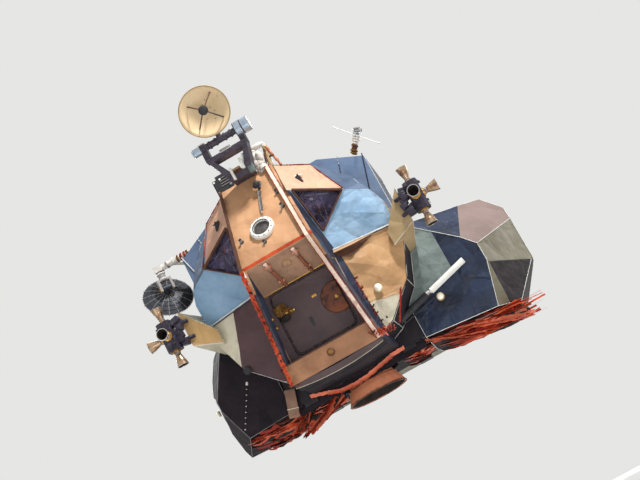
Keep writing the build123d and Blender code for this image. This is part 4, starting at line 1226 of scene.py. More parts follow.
    def recess_fittings(self) -> None:
        """Covers, clamps and seams round the hatch recess."""
        fittings = Shape("recess_fittings", GREY)
        slope_out, y = Vector(self.recess_out), self.recess_y
        cover = at(0.7, -79.9, 53.5)
        fittings.spun(cover, slope_out, [(2.0, 0), (2.0, 0.5), (1.5, 0.7), (0, 0.75)], 24, SOFFIT)
        fittings.spun(cover, slope_out, [(2.3, 0), (2.3, 0.2), (1.9, 0.25)], 24, BRASS)
        for top_x, bottom_x in [(-7.6, -5.2), (6.8, 8.2)]:
            for share in (0.2, 0.75):
                place = at(top_x, -86.5, 58).lerp(at(bottom_x, -70, 46.8), share) + slope_out * 1.0 * IN
                fittings.slab(place, at(3.2, 0.9, 1.2), finish=COPPER)
        for x in (-20, 20):
            fittings.rod(at(x, y, 47), at(x, y, 13), 0.35, sides=8, finish=SOFFIT)
        fittings.rod(at(-19.5, y, 47.3), at(19.5, y, 47.3), 0.4, sides=8, finish=BROWN)
        fittings.ball(at(-18.6, -71, 36), 1.1, 2, BRASS)
        fittings.ball(at(-18.4, -71, 31.5), 0.9, 2, BRASS)
        fittings.finish()
        seam = Shape("lower_panel_seam", BROWN)
        seam.ribbon([self.on_foot(x, 12.6, 0.15) for x in (-21.4, 21.4)], Z_AXIS, 0.55, 0.002, 31)
        seam.thicken(0.002)
        seam.finish()

    def apron(self) -> None:
        """Curved film apron under the lower panel, its beaded edge, and the torn film at its port end."""
        apron = Shape("chin_apron", MAUVE)
        half, y, z = self.apron_end
        shares = [k / 12 * 2 - 1 for k in range(13)]
        line = [at(share * half, y, z - self.apron_sag * (1 - share ** 2)) for share in shares]
        under = [place + at(0, 4.8, -1.1) for place in line]
        apron.ribbon(line, Vector((0, -0.55, 0.8)), 3.2, 0.001, 41, 0.025)
        apron.ribbon(under, Vector((0, -0.97, 0.25)), 8.0, 0.002, 42, 0.03, BAY_DARK_AND_PAINTED_SHADE)
        apron.thicken(0.003)
        apron.crumple(0.003, 12, 7)
        apron.finish()
        beads = Shape("apron_beads", CREAM_AND_PAINTED_LIGHT)
        for start, end in zip(line, line[1:]):
            for k in range(6):
                beads.ball(start.lerp(end, k / 6) + at(0, 0.9, -1.3), 0.26, 1)
        beads.finish()
        torn = Shape("chin_torn_film", ORANGE)
        for start, end, outward, *rest in [
            ((18.5, -78.3, 7.0), (24.4, -77.9, 4.6), (0.2, -1, -0.2), 3.4, 46, 43, TORN),
            ((23.6, -75, 6.6), (28.6, -63, 6.6), (0.3, -1, -0.1), 3.6, 64, 44, TORN),
            ((18, -69, 11), (27.5, -61.5, 12.5), (0, -1, 0), 1.6, 16, 45, (SOOT, RED, SOOT)),
            ((-25, -70, 6), (-20, -76, 3), (0, -1, -0.2), 1.6, 16, 46, TORN),
        ]:
            torn.torn(at(*start), at(*end), Vector((0.2, -0.6, 0.8)), Vector(outward), *rest)
        torn.thicken(0.0015)
        torn.finish()

    def build(self) -> None:
        """Make the whole trim of the column."""
        self.rails()
        self.nose_fittings()
        self.recess_fittings()
        self.apron()


@dataclass
class ForwardHatch:
    """Seal, valve, plate and screws that ride on the forward hatch.

    Fields:
        middle: the hatch's middle on its outer face, in inches.
        half: half its side inside the seal, in inches.
        corner: corner radius of the seal, in inches.
    """

    middle: Vector
    half: float = 15.1
    corner: float = 2.8

    def seal_places(self, spacing: float) -> list[Vector]:
        """Places along the seal's rounded square, in metres."""
        places = []
        run = self.half - self.corner
        for quarter in range(4):
            turn = Matrix.Rotation(quarter * math.tau / 4, 3, "Y")
            count = round(2 * run / spacing)
            for k in range(count):
                places.append(turn @ Vector((-run + 2 * run * k / count, 0, self.half)))
            bend = Vector((run, 0, run))
            places += [turn @ (bend + spoke * self.corner) for spoke in spokes(Z_AXIS, X_AXIS, 24)[:6]]
        return [(self.middle + place) * IN for place in places]

    def build(self) -> None:
        """Make the pieces of the hatch."""
        seal = Shape("hatch_seal", DARK_EDGE)
        draw = random.Random(7)
        for k, place in enumerate(self.seal_places(0.8)):
            size = draw.uniform(0.28, 0.46)
            seal.ball(place + at(0, -0.12, 0), size, 1, BROWN if k % 5 == 0 else DARK_EDGE)
        seal.finish(Body.FORWARD_HATCH)
        valve = Shape("hatch_valve_wrap", GOLD)
        valve.ball(at(-13.0, -71.3, 37.6), 3.1, 4, stretch=Vector((1.1, 0.6, 0.95)))
        valve.ball(at(-10.2, -71.2, 35.6), 1.7, 3, stretch=Vector((1.3, 0.6, 1.1)))
        valve.crumple(0.022, 28, 4)
        valve.ball(at(-12.8, -71.0, 33.7), 2.4, 3, SOOT, Vector((1.1, 0.6, 0.8)))
        valve.rod(at(-12.6, -71.6, 35.6), at(-7.6, -72.0, 35.0), 0.5, 0.4, finish=BRASS)
        valve.ball(at(-7.4, -72.0, 35.0), 0.8, 2, BRASS)
        valve.rod(at(-13.2, -70, 36.8), at(-13.2, -71.4, 36.8), 3.0, 2.7, 24, finish=BLACK_BOX)
        valve.finish(Body.FORWARD_HATCH, ["hatch_valve"], 20)
        plate = Shape("hatch_plates", BLACK_BOX)
        plate.slab(at(-2.6, -70.12, 26.4), at(1.5, 0.2, 4.6), bevel=0.001)
        plate.slab(at(3.5, -70.1, 36.5), at(2.4, 0.16, 1.2), bevel=0.001, finish=RADAR_GREY)
        plate.spun(at(12.6, -70.55, 31), Vector((0, -1, 0)), [(1.0, 0), (0.8, 0.18), (0, 0.2)], 20, BRASS)
        plate.finish(Body.FORWARD_HATCH)


@dataclass
class Windows:
    """Frames, edges, a flap with its painted shadow and painted light along the seams of the face's canted
    panels, and what shows inside through the glass.

    Fields:
        corners: upper inner, outer and low corner of the port window, in metres.
    """

    corners: tuple[Vector, Vector, Vector]

    def mirrored(self, place: Vector, side: int) -> Vector:
        """The place on that side of the craft."""
        return Vector((place.x * side, place.y, place.z))

    def edges(self) -> None:
        """Brown frame round each window, the wear-marked red edges of the panels round it, and painted light
        along each cheek seam.
        """
        top_in, outer, low = self.corners
        frames = Shape("window_frames", BROWN)
        trims = Shape("face_panel_edges", RED)
        for side in SIDES:
            out = Vector((side * 0.01, -0.01, 0.002))
            ends = [self.mirrored(corner, side) + out for corner in (top_in, outer, low)]
            middle = sum(ends, Vector()) / 3
            ends = [end.lerp(middle, 0.04) for end in ends]
            for start, end, radius in zip(ends, ends[1:] + ends[:1], (0.75, 0.4, 0.5)):
                frames.rod(start, end, radius, sides=8)
            brow = [
                at(side * x, y, z)
                for x, y, z in ((13.9, -61.2, 103.7), (28.9, -53.6, 97.6), (38.2, -63.4, 75.9))
            ]
            trims.ribbon(brow, Vector((side, -0.6, 0.8)), 0.55, 0.003, 50 + side, 0.02)
            # Painted light along each cheek seam: a white line painted as the lit ledge and, under it, a dark
            # line painted as its shade.
            seam = [at(side * 20.6, -65.4, 51.6), at(side * 50.6, -53.4, 51.6)]
            for y, z, width, seed, finish in (
                (-0.3, 0.5, 0.55, 52, EDGE_WHITE), (-0.25, -0.25, 0.4, 53, DARK_EDGE)
            ):
                trims.ribbon(
                    [place + at(0, y, z) for place in seam], Z_AXIS, width, 0.002, seed, 0.02, finish
                )
        trims.ribbon([at(39.2, -58.9, 22.6), at(31.2, -61.2, 8)], X_AXIS, 0.9, 0.005, 54, 0.02)
        trims.ribbon([at(24.4, -65.0, 22.2), at(39, -59.3, 22.2)], Z_AXIS, 0.4, 0.002, 55, 0.02, SIDE_TAN)
        trims.thicken(0.002)
        trims.finish()
        frames.finish()

    def folds(self) -> None:
        """Brown sheet painted as the shadow under a lifted flap below the port window panel, the flap itself,
        and the fixtures on the brow.
        """
        fold = Shape("cheek_flap_and_painted_shadow", BROWN)
        # Painted shadow: the brown sheet hangs where the flap's shadow falls on the cheek.
        hanging = [
            (20.6, -65.4, 51.0), (20.9, -65.4, 48.0), (26.5, -63.1, 45.6), (33.5, -60.2, 48.4),
            (39.5, -57.7, 51.0)
        ]
        standing = [(20.4, -66.2, 51.4), (20.4, -67.4, 50.0), (30, -63.6, 50.2), (40.5, -58.4, 51.4)]
        fold.patch([at(*place) for place in hanging])
        fold.refine(0.03)
        fold.thicken(0.004)
        fold.crumple(0.004, 10, 2)
        fold.patch([at(*place) for place in standing], CHEEK)
        fold.finish()
        fixture = Shape("brow_fixtures", BLACK_BOX)
        for side in SIDES:
            fixture.rod(at(side * 21.8, -64.4, 91.8), at(side * 23.6, -66.2, 87.6), 1.7, 0.4, 3)
            fixture.rod(
                at(side * 20.8, -64.0, 92.4), at(side * 24.4, -63.6, 91.6), 0.5, sides=8, finish=WHITE
            )
        fixture.finish()

    def inside(self) -> None:
        """Racks, bars and boxes behind the glass."""
        inside = Shape("cabin_fittings", INSIDE)
        draw = random.Random(12)
        top_in, outer, low = self.corners
        for side in SIDES:
            for _ in range(26):
                shares = [draw.random() + 0.05 for _ in range(3)]
                place = (top_in * shares[0] + outer * shares[1] + low * shares[2]) / sum(shares)
                place = self.mirrored(place, side) + at(-side * 2.6, 6.4, 1.4) * draw.uniform(0.45, 1.3)
                size = at(draw.uniform(0.6, 3.2), draw.uniform(0.8, 2), draw.uniform(0.6, 3.6))
                inside.slab(
                    place, size, Matrix.Rotation(draw.uniform(-0.6, 0.6), 3, "Y"), 0.004,
                    draw.choice((INSIDE, MAUVE, MAUVE, RADAR_GREY, BROWN, SALMON, WHITE))
                )
            for start, end in [
                ((19, -66, 82), (31, -61, 78)), ((21, -64, 80), (24, -62, 66)), ((27, -62, 79), (25, -61, 67))
            ]:
                ends = [self.mirrored(at(*place), side) for place in (start, end)]
                inside.rod(*ends, 0.35, sides=8, finish=GREY)
            for row in range(3):
                for column in range(5):
                    dial = at(side * (2.2 + column * 2.3), -61.0, 53 + row * 4.2)
                    inside.rod(dial, dial + at(0, 0.9, 0), 0.8, 0.7, 16, WHITE if row == 1 else GREY)
        inside.finish()

    def build(self) -> None:
        """Make the windows' pieces."""
        self.edges()
        self.folds()
        self.inside()


@dataclass
class Radar:
    """Wraps, caps, bolts and the feed of the rendezvous radar.

    Fields:
        shaft: the shaft's middle, in inches.
        pitch_deg: how far the dish looks down.
        yaw_deg: how far it looks to port.
        lift: from the shaft to the dish's middle, in inches.
        dish_radius: the dish's radius in inches.
        dish_depth: its depth in inches.
        dish_skin: its thickness in inches.
        dots: how far out each dot on the dish is, in inches, and where round it, in degrees.
    """

    shaft: Vector
    pitch_deg: float = 15.6
    yaw_deg: float = 6.0
    lift: float = 14.2
    dish_radius: float = 12
    dish_depth: float = 3
    dish_skin: float = 0.5
    dots: Profile = (
        (3.4, 10), (3.6, 80), (3.5, 170), (3.4, 260), (5.6, 60), (5.8, 120), (5.6, 205), (6.0, 300),
        (4.8, 340), (9.4, 20)
    )

    def axes(self) -> tuple[Vector, Vector, Vector, Vector]:
        """The dish's back, its aim, and the directions across and up it."""
        up = Matrix.Rotation(math.radians(self.pitch_deg), 3, "X") @ Z_AXIS
        aim = Matrix.Rotation(math.radians(self.pitch_deg), 3, "X") @ Vector((0, -1, 0))
        aim = Matrix.Rotation(math.radians(self.yaw_deg), 3, up) @ aim
        back = self.shaft * IN + up * self.lift * IN + aim * 2.0 * IN
        across = X_AXIS
        return back, aim, across, aim.cross(across).normalized()

    def dish(self) -> None:
        """Rim, feed with its struts, and the small dots on the dish."""
        back, aim, across, up = self.axes()
        rim = Shape("radar_dish_rim", SIDE_TAN)
        lip = [(12.05, 0), (12.2, 0.1), (12.05, 0.3), (11.7, 0.25), (11.6, 0)]
        rim.spun(back + aim * 2.95 * IN, aim, lip, 72)
        hub = [(3.9, 0), (3.9, -2.6), (3.2, -3.4), (2.7, -3.4), (2.7, 0.1)]
        rim.spun(back - aim * 0.2 * IN, aim, hub, 40, GREY)
        for spoke in spokes(across, up, 8):
            foot, head = back + spoke * 3.4 * IN - aim * 0.7 * IN, back + spoke * 11.2 * IN + aim * 1.5 * IN
            rim.rod(foot, head, 0.3, 0.16, 8, GREY)
        rim.finish(Body.RADAR_DISH)
        feed = Shape("radar_feed_horn", BLACK_BOX)
        line = [(0, -1.3), (1.3, -1.3), (2.2, -0.7), (2.3, 0.4), (1.6, 0.7), (1.5, 1.2), (0.7, 1.3), (0, 1.3)]
        feed.spun(back + aim * 8 * IN, aim, line, 36)
        feed.spun(back + aim * 8.9 * IN, aim, [(0, 0), (1.1, 0), (1.0, 0.25), (0, 0.3)], 24, BARE)
        for spoke in spokes(across, up, 4, True):
            foot, head = back + spoke * 9.2 * IN + aim * 1.75 * IN, back + spoke * 1.7 * IN + aim * 8 * IN
            feed.rod(foot, head, 0.34, 0.26, 12, BROWN)
            feed.rod(foot, foot.lerp(head, 0.04), 0.5, 0.36, 12, BROWN)
        feed.finish(Body.RADAR_DISH, ["radar_feed"])
        dots = Shape("radar_dish_dots", BROWN)
        ball_r = ball_radius(self.dish_radius, self.dish_depth)
        for radius, turn_deg in self.dots:
            spoke = across * math.cos(math.radians(turn_deg)) + up * math.sin(math.radians(turn_deg))
            rise = self.dish_skin + bowl_rise(ball_r - self.dish_skin, radius)
            dots.ball(back + spoke * radius * IN + aim * rise * IN, 0.26, 1)
        dots.finish(Body.RADAR_DISH)

    def shaft_trim(self) -> None:
        """Bands and bolts on the turning shaft and its post."""
        middle = self.shaft * IN
        up = Matrix.Rotation(math.radians(self.pitch_deg), 3, "X") @ Z_AXIS
        bands = Shape("radar_shaft_bands", RADAR_GREY)
        for x in (-5.6, -2.4, 2.4, 5.6):
            bands.spun(middle + at(x, 0, 0), X_AXIS, band(1.62, 1.95, 0.5, 0.45), 32)
        for rise in (3.2, 6.4, 9.4):
            bands.spun(middle + up * rise * IN, up, [(1.32, 0), (1.75, 0.1), (1.75, 0.7), (1.32, 0.8)], 32)
        bands.finish(Body.RADAR_SHAFT)

    def pedestal(self) -> None:
        """Bright caps on the motors, wraps on the bracket, struts and bolts on the pedestal and box."""
        caps = Shape("radar_caps", WHITE)
        shaft = self.shaft * IN
        for start, end, radius in [(8.3, 11.6, 3.75), (11.9, 15.6, 3.68), (-14.8, -10.4, 2.15)]:
            line = [
                (radius - 0.5, start), (radius, start + 0.2), (radius, end - 0.2), (radius - 0.5, end),
                (0, end + 0.05)
            ]
            caps.spun(shaft, X_AXIS, line, 40, STEEL)
        for x, radius, length in [(15.6, 3.3, 0.4), (-14.9, 1.7, 0.5)]:
            line = [
                (0, length / 2), (radius - 0.4, length / 2), (radius, length / 4), (radius, -length / 2),
                (radius - 0.5, -length / 2)
            ]
            caps.spun(shaft + at(x, 0, 0), X_AXIS, line, 40)
        for spoke in spokes(Y_AXIS, Z_AXIS, 8):
            foot, head = (shaft + at(x, 0, 0) + spoke * 2.6 * IN for x in (15.6, 16.0))
            caps.rod(foot, head, 0.35, sides=6, finish=GREY)
        for place, size in [
            ((-9.5, -76, 124.4), (3.4, 5.4, 0.5)), ((9.5, -76, 124.4), (3.4, 5.4, 0.5)),
            ((0, -79.1, 116.4), (6, 0.5, 1.4))
        ]:
            caps.slab(at(*place), at(*size), finish=WHITE)
        caps.rod(at(-9.4, -73.0, 113.8), at(-4.6, -69.8, 104.6), 0.55, sides=12, finish=GREY)
        caps.rod(at(9.0, -73.0, 113.8), at(4.6, -69.8, 104.6), 0.6, sides=12, finish=PALE_GREEN)
        caps.rod(at(5.0, -73.2, 112.4), at(4.2, -71.5, 107.6), 0.7, sides=12, finish=WHITE)
        for place, size, finish in [
            ((-0.6, -72.4, 106.3), (4.0, 2.2, 0.9), BROWN), ((-0.6, -72.6, 107.3), (4.0, 2.2, 0.9), SIDE_TAN),
            ((-3.2, -73.0, 105.8), (1.2, 1.6, 6.2), WHITE), ((2.9, -73.0, 108.3), (1.5, 1.6, 5.4), WHITE),
            ((5.6, -70.6, 105.6), (2.8, 2.2, 5.8), BAY_GREEN)
        ]:
            caps.slab(at(*place), at(*size), finish=finish)
        caps.finish()
        box = Shape("radar_box_bolts", WHITE)
        box.slab(at(-13.2, -59.6, 107.4), at(5.2, 4.6, 8.4), bevel=0.006, finish=BLACK_BOX)
        for x, z in [(-14.9, 110.6), (-11.6, 110.8), (-7.6, 111.8), (-14.6, 104.8), (-7.6, 106.2)]:
            box.rod(at(x, -62.0, z), at(x, -62.45, z), 0.5, sides=10)
        for k in range(4):
            box.slab(at(-10, -62.1, 107.2 + k * 1.3), at(4.6, 0.3, 0.3), finish=GREY)
        box.finish()
        wraps = Shape("radar_bracket_wraps", BROWN)
        draw = random.Random(23)
        for foot, head, least, most, finish in [
            ((9.9, -63, 103.5), (7.8, -60, 116.2), 1.5, 2.4, WHITE_WRAP),
            ((13.2, -61, 103.5), (14.4, -60, 116.2), 1.0, 1.3, SIDE_TAN),
            ((12.6, -54, 103.8), (14.4, -60, 116.2), 1.0, 1.4, WHITE_WRAP),
            ((17.6, -60.2, 102.4), (14.6, -60.6, 116.0), 0.5, 0.9, COPPER),
            ((11.4, -62.6, 104.2), (14.2, -61.6, 113.6), 0.4, 0.7, BROWN),
        ]:
            along = at(*head) - at(*foot)
            line = [(draw.uniform(least, most), k * 0.8) for k in range(int(along.length / IN / 0.8))]
            wraps.spun(at(*foot), along, line, 20, finish)
        for middle, size, finish in [
            ((11.2, -60.4, 116.4), (2.1, 0.8, 0.8), WHITE_WRAP),
            ((8.2, -62.4, 106.4), (1.1, 0.9, 1.9), WHITE_WRAP),
            ((10.4, -62.8, 110.6), (0.9, 0.8, 1.6), WHITE_WRAP),
            ((15.4, -61.2, 108.4), (0.8, 0.3, 0.3), BROWN)
        ]:
            wraps.ball(at(*middle), 1.9, 3, finish, Vector(size))
        wraps.crumple(0.008, 20, 3)
        wraps.finish()

    def build(self) -> None:
        """Make every piece of the radar."""
        self.dish()
        self.shaft_trim()
        self.pedestal()


@dataclass
class SteerableAntenna:
    """Ribs, rings and beaded rim of the steerable dish, and the wraps on its boom.

    Fields:
        pivot: where its two axes cross, in inches.
        heading_deg: where it points, round from +X.
        pitch_deg: how far it points up.
        radius: the dish's radius in inches.
        depth: the dish's depth in inches.
    """

    pivot: Vector
    heading_deg: float = 120.0
    pitch_deg: float = -25.0
    radius: float = 13.0
    depth: float = 3.2

    def build(self) -> None:
        """Make the antenna's pieces."""
        turn, pitch = math.radians(self.heading_deg), math.radians(self.pitch_deg)
        heading = Vector((math.cos(turn), math.sin(turn), 0))
        aim = heading * math.cos(pitch) + Z_AXIS * math.sin(pitch)
        across = heading.cross(Z_AXIS).normalized()
        up = across.cross(aim).normalized()
        back = self.pivot * IN + aim * 3.5 * IN
        ball_r = ball_radius(self.radius, self.depth)
        ribs = Shape("steerable_dish_ribs", GREY)
        for share in (0.28, 0.46, 0.64, 0.82):
            radius = share * self.radius
            ring = [(radius - 0.12, 0), (radius, -0.14), (radius + 0.12, 0)]
            ribs.spun(back + aim * (bowl_rise(ball_r, radius) - 0.12) * IN, aim, ring, 48, MESH_GREY)
        for spoke in spokes(across, up, 16):
            radii = [share * self.radius for share in (0.15, 0.4, 0.7, 1.0)]
            rises = [bowl_rise(ball_r, radius) - 0.1 for radius in radii]
            places = [back + spoke * radius * IN + aim * rise * IN for radius, rise in zip(radii, rises)]
            for start, end in zip(places, places[1:]):
                ribs.rod(start, end, 0.16, sides=6)
        ribs.finish(Body.STEERABLE_DISH)
        rim = Shape("steerable_dish_rim", EDGE_WHITE)
        edge = back + aim * self.depth * IN
        lip = [(-0.25, 0), (0, -0.22), (0.12, 0.05), (-0.1, 0.16)]
        rim.spun(edge, aim, [(self.radius + out, rise) for out, rise in lip], 72)
        for k, spoke in enumerate(spokes(across, up, 64)):
            rim.ball(edge + spoke * self.radius * IN, 0.3, 1, GOLD if k % 4 == 0 else EDGE_WHITE)
        rim.finish(Body.STEERABLE_DISH)
        head = Shape("steerable_head_trim", WHITE)
        for rise, radius in [(4.6, 2.3), (7.6, 2.4)]:
            collar = [(2.0, 0), (radius, 0.1), (radius, 0.5), (2.0, 0.6)]
            head.spun(self.pivot * IN + at(0, 0, rise), Z_AXIS, collar, 32)
        for side in SIDES:
            hub = self.pivot * IN + across * side * 3.8 * IN
            head.spun(hub, across * side, [(1.1, 0), (1.0, 0.35), (0, 0.4)], 24, BRASS)
        head.finish(Body.STEERABLE_HEAD)
        wraps = Shape("steerable_boom_wraps", WHITE_WRAP)
        draw = random.Random(31)
        root = at(-48.5, self.pivot.y, 99.5)
        line = [(1.4 + draw.uniform(0.1, 0.45), k * 0.9) for k in range(18)]
        wraps.spun(root, Vector((-1, 0, 0)), line, 24)
        for share, finish in [
            (0.06, GOLD), (0.17, ORANGE), (0.3, RED), (0.42, GOLD), (0.6, WHITE_WRAP), (0.83, GREY)
        ]:
            place = root + at(-16 * share, 0, 0)
            wraps.spun(place, Vector((1, 0, draw.uniform(-0.3, 0.3))), band(1.6, 1.95, 0.7, 0.4), 20, finish)
        wraps.crumple(0.006, 26, 3)
        wraps.finish()


@dataclass
class Whips:
    """Wrapped stalks and ball tips of the two whip antennas.

    Fields:
        roots: side of the craft and place along Y of each stalk's root.
        root_x: how far out the roots are, in inches.
        root_z: their height in inches.
        reach: from a root to its tip on the port side, in inches.
        layers: finishes of the wraps from the root up, drawn at random in each layer.
    """

    roots: tuple[tuple[int, float], ...] = ((1, -27), (-1, 22))
    root_x: float = 47
    root_z: float = 97.5
    reach: Place = (9.8, -1, 13.5)
    layers: tuple[tuple[Finish, ...], ...] = (
        (BROWN, ORANGE, GOLD),
        (WHITE_WRAP, WHITE_WRAP, GOLD),
        (GREY, WHITE_WRAP, STEEL),
    )

    def build(self) -> None:
        """Make the wraps and the tips."""
        wraps = Shape("whip_antenna_wraps", WHITE_WRAP)
        draw = random.Random(5)
        for side, y in self.roots:
            root, reach = self.stalk(side, y)
            tip = root + reach
            along = (tip - root).normalized()
            for k in range(11):
                size = draw.uniform(1.45, 2.0)
                lean = along + Vector((draw.uniform(-0.3, 0.3), 0, 0))
                wrap = [(1.3, -0.6), (size, -0.3), (size, 0.35), (1.3, 0.6)]
                wraps.spun(
                    root.lerp(tip, 0.18 + k * 0.075), lean, wrap, 20, draw.choice(self.layers[min(k // 4, 2)])
                )
        wraps.crumple(0.004, 30, 6)
        for side, y in self.roots:
            root, reach = self.stalk(side, y)
            crossing = root + reach * 0.73
            for half in [at(side * 7.9, 0, -9.6), at(0, 9, 0)]:
                wraps.rod(crossing - half, crossing + half, 0.2, sides=10, finish=RADAR_GREY)
                for end in SIDES:
                    wraps.ball(crossing + half * end, 0.55, 2, WHITE)
            lean = Matrix.Rotation(side * 0.6, 3, "Y")
            wraps.slab(crossing + at(side * 2.6, -0.2, 1.6), at(2.6, 2.2, 1.6), lean, 0.004, BARE)
        wraps.finish(stands_for=["whip_antennas"])

    def stalk(self, side: int, y: float) -> tuple[Vector, Vector]:
        """Root of one stalk, and the way from it to its tip."""
        across, back, up = self.reach
        return at(side * self.root_x, y, self.root_z), at(side * across, back, up)


@dataclass
class Lamps:
    """Round lamps and caps on the face and bays, each in its ring.

    Fields:
        places: x, y, z, where it looks along X and Y, its size and the finish of its ring and its cap.
    """

    places: tuple[tuple[float, float, float, float, float, float, Finish, Finish], ...] = (
        (30.2, -63.2, 26.5, 0.2, -1, 0.95, CREAM_AND_PAINTED_LIGHT, LAMP),
        (-42, -58.6, 24, -0.3, -1, 0.95, DARK_EDGE, BLACK_BOX),
        (51.8, -32.6, 14.6, 0, -1, 0.95, SIDE_TAN, LAMP),
        (-72.6, -20, 20, -1, 0, 0.7, CREAM_AND_PAINTED_LIGHT, LAMP),
        (-0.5, -78.6, 8.4, 0, -1, 0.8, BROWN, GOLD),
    )

    def build(self) -> None:
        """Make the lamps in place of the plain ones."""
        lamps = Shape("round_lamps", LAMP)
        for x, y, z, east, north, size, ring, cap in self.places:
            facing = Vector((east, north, 0)).normalized()
            base = at(x, y, z)
            outline = ((2.2, 0), (2.2, 0.5), (1.8, 0.8), (1.5, 0.8), (1.5, 0))
            housing = [(radius * size, rise) for radius, rise in outline]
            lamps.spun(base - facing * 0.5 * IN, facing, housing, 32, ring)
            if cap is LAMP:
                lamps.ball(base + facing * 0.9 * size * IN, 1.75 * size, 3)
            else:
                lid = [(1.6 * size, 0), (1.5 * size, 0.4), (0.8 * size, 0.6), (0, 0.65)]
                lamps.spun(base, facing, lid, 28, cap)
        lamps.finish(stands_for=["lamps"])


@dataclass
class Quads:
    """Nozzle liners, collars, wraps and bolts of the four thruster quads.

    Fields:
        place: distance of a quad's middle along X, along Y and up, in inches.
        half: half of its housing, in inches.
        jet_length: length of a nozzle in inches.
        liner: the liner's radius in inches at shares of the nozzle's length, from its mouth inwards.
        lip: profile of the bead round a nozzle's mouth.
        flange: profile of the ring at its root.
        collar: profile of the ring round its throat.
        joint: profile of the ring where an arm meets the housing.
        cap_lift: how far the end caps are from the quad's middle, in inches.
        joint_lift: how far the arms are from it, in inches.
    """

    place: Vector
    half: Vector
    jet_length: float = 7.5
    liner: Profile = ((2.42, 0.985), (1.6, 0.58), (0.84, 0.28), (0, 0.27))
    lip: Profile = ((2.55, -0.02), (2.9, -0.12), (2.9, 0.06), (2.6, 0.08), (2.55, -0.02))
    flange: Profile = ((2.3, 0), (2.3, 0.4), (1.7, 0.5))
    collar: Profile = ((1.15, -0.3), (1.5, -0.1), (1.5, 0.2), (1.2, 0.4))
    joint: Profile = ((1.0, 0), (1.5, 0.1), (1.5, 0.9), (1.0, 1.1))
    cap_lift: float = 6.9
    joint_lift: float = 4

    def jet(self, liners: Shape, trim: Shape, base: Vector, along: Vector) -> None:
        """Liner, lip, flange and collar of the nozzle that starts at a base and points along."""
        liners.spun(base, along, [(radius, share * self.jet_length) for radius, share in self.liner], 28)
        trim.spun(base + along * self.jet_length * IN, along, self.lip, 36)
        trim.spun(base, along, self.flange, 28, BRASS)
        trim.spun(base + along * 1.5 * IN, along, self.collar, 28, GREY)

    def lumps(self, wraps: Shape, hub: Vector, side: int, end: int, draw: random.Random) -> None:
        """Small boxes on a quad's housing and film bunched round its arms.

        Args:
            wraps: the piece that they go in.
            hub: the quad's middle.
            side: its side of the craft.
            end: its end of the craft.
            draw: gives their places and sizes.
        """
        for _ in range(10):
            face = draw.choice([Vector((0, end, 0)), Vector((side, 0, 0)), Vector((0, -end, 0))])
            spread = Vector((face.y, face.x, 0)) * draw.uniform(-2.2, 2.2) * IN
            spot = hub + face * self.half.x * IN + spread + at(0, 0, draw.choice((-5.6, -4.4, 4.4, 5.6)))
            size = at(draw.uniform(0.8, 2.2), draw.uniform(0.8, 2.2), draw.uniform(0.8, 2.0))
            wraps.slab(spot, size, bevel=0.004, finish=draw.choice((QUAD_GREY, BARE, BLACK_BOX, QUAD_GREY)))
        for k in range(7):
            spot = hub + at(-side * draw.uniform(4.4, 8.2), draw.uniform(-1.6, 1.6), -5.4 + k * 1.8)
            size = at(draw.uniform(3.0, 4.4), draw.uniform(3.6, 5.4), draw.uniform(2.2, 3.4))
            wraps.slab(spot, size, Matrix.Rotation(draw.uniform(-0.4, 0.4), 3, "Y"), 0.014, QUAD_GREY)

    def build(self) -> None:
        """Dress the four quads."""
        liners = Shape("jet_liners", SOOT)
        trim = Shape("quad_trim", BARE)
        wraps = Shape("quad_wraps", QUAD_GREY)
        draw = random.Random(17)
        corner_turn = Matrix.Rotation(math.tau / 8, 3, "Z") @ Matrix.Diagonal((0.86, 0.86, 1))
        for side, end in [(side, end) for side in SIDES for end in SIDES]:
            hub = at(side * self.place.x, end * self.place.y, self.place.z)
            for along, reach in [
                ((0, 0, 1), self.half.z), ((0, 0, -1), self.half.z), ((side, 0, 0), self.half.x),
                ((0, end, 0), self.half.y)
            ]:
                self.jet(liners, trim, hub + Vector(along) * reach * IN, Vector(along))
            self.lumps(wraps, hub, side, end, draw)
            for way in (-1, 1):
                wraps.slab(
                    hub + at(0, 0, way * self.cap_lift), at(6.2, 6.2, 0.9), corner_turn, 0.006, BLACK_BOX
                )
            for way in (-1, 1):
                root = hub + at(-side * 4.2, 0, way * self.joint_lift)
                trim.spun(root, Vector((-side, 0, 0)), self.joint, 24, QUAD_GREY)
        wraps.crumple(0.002, 30, 5)
        liners.finish()
        trim.finish()
        wraps.finish()


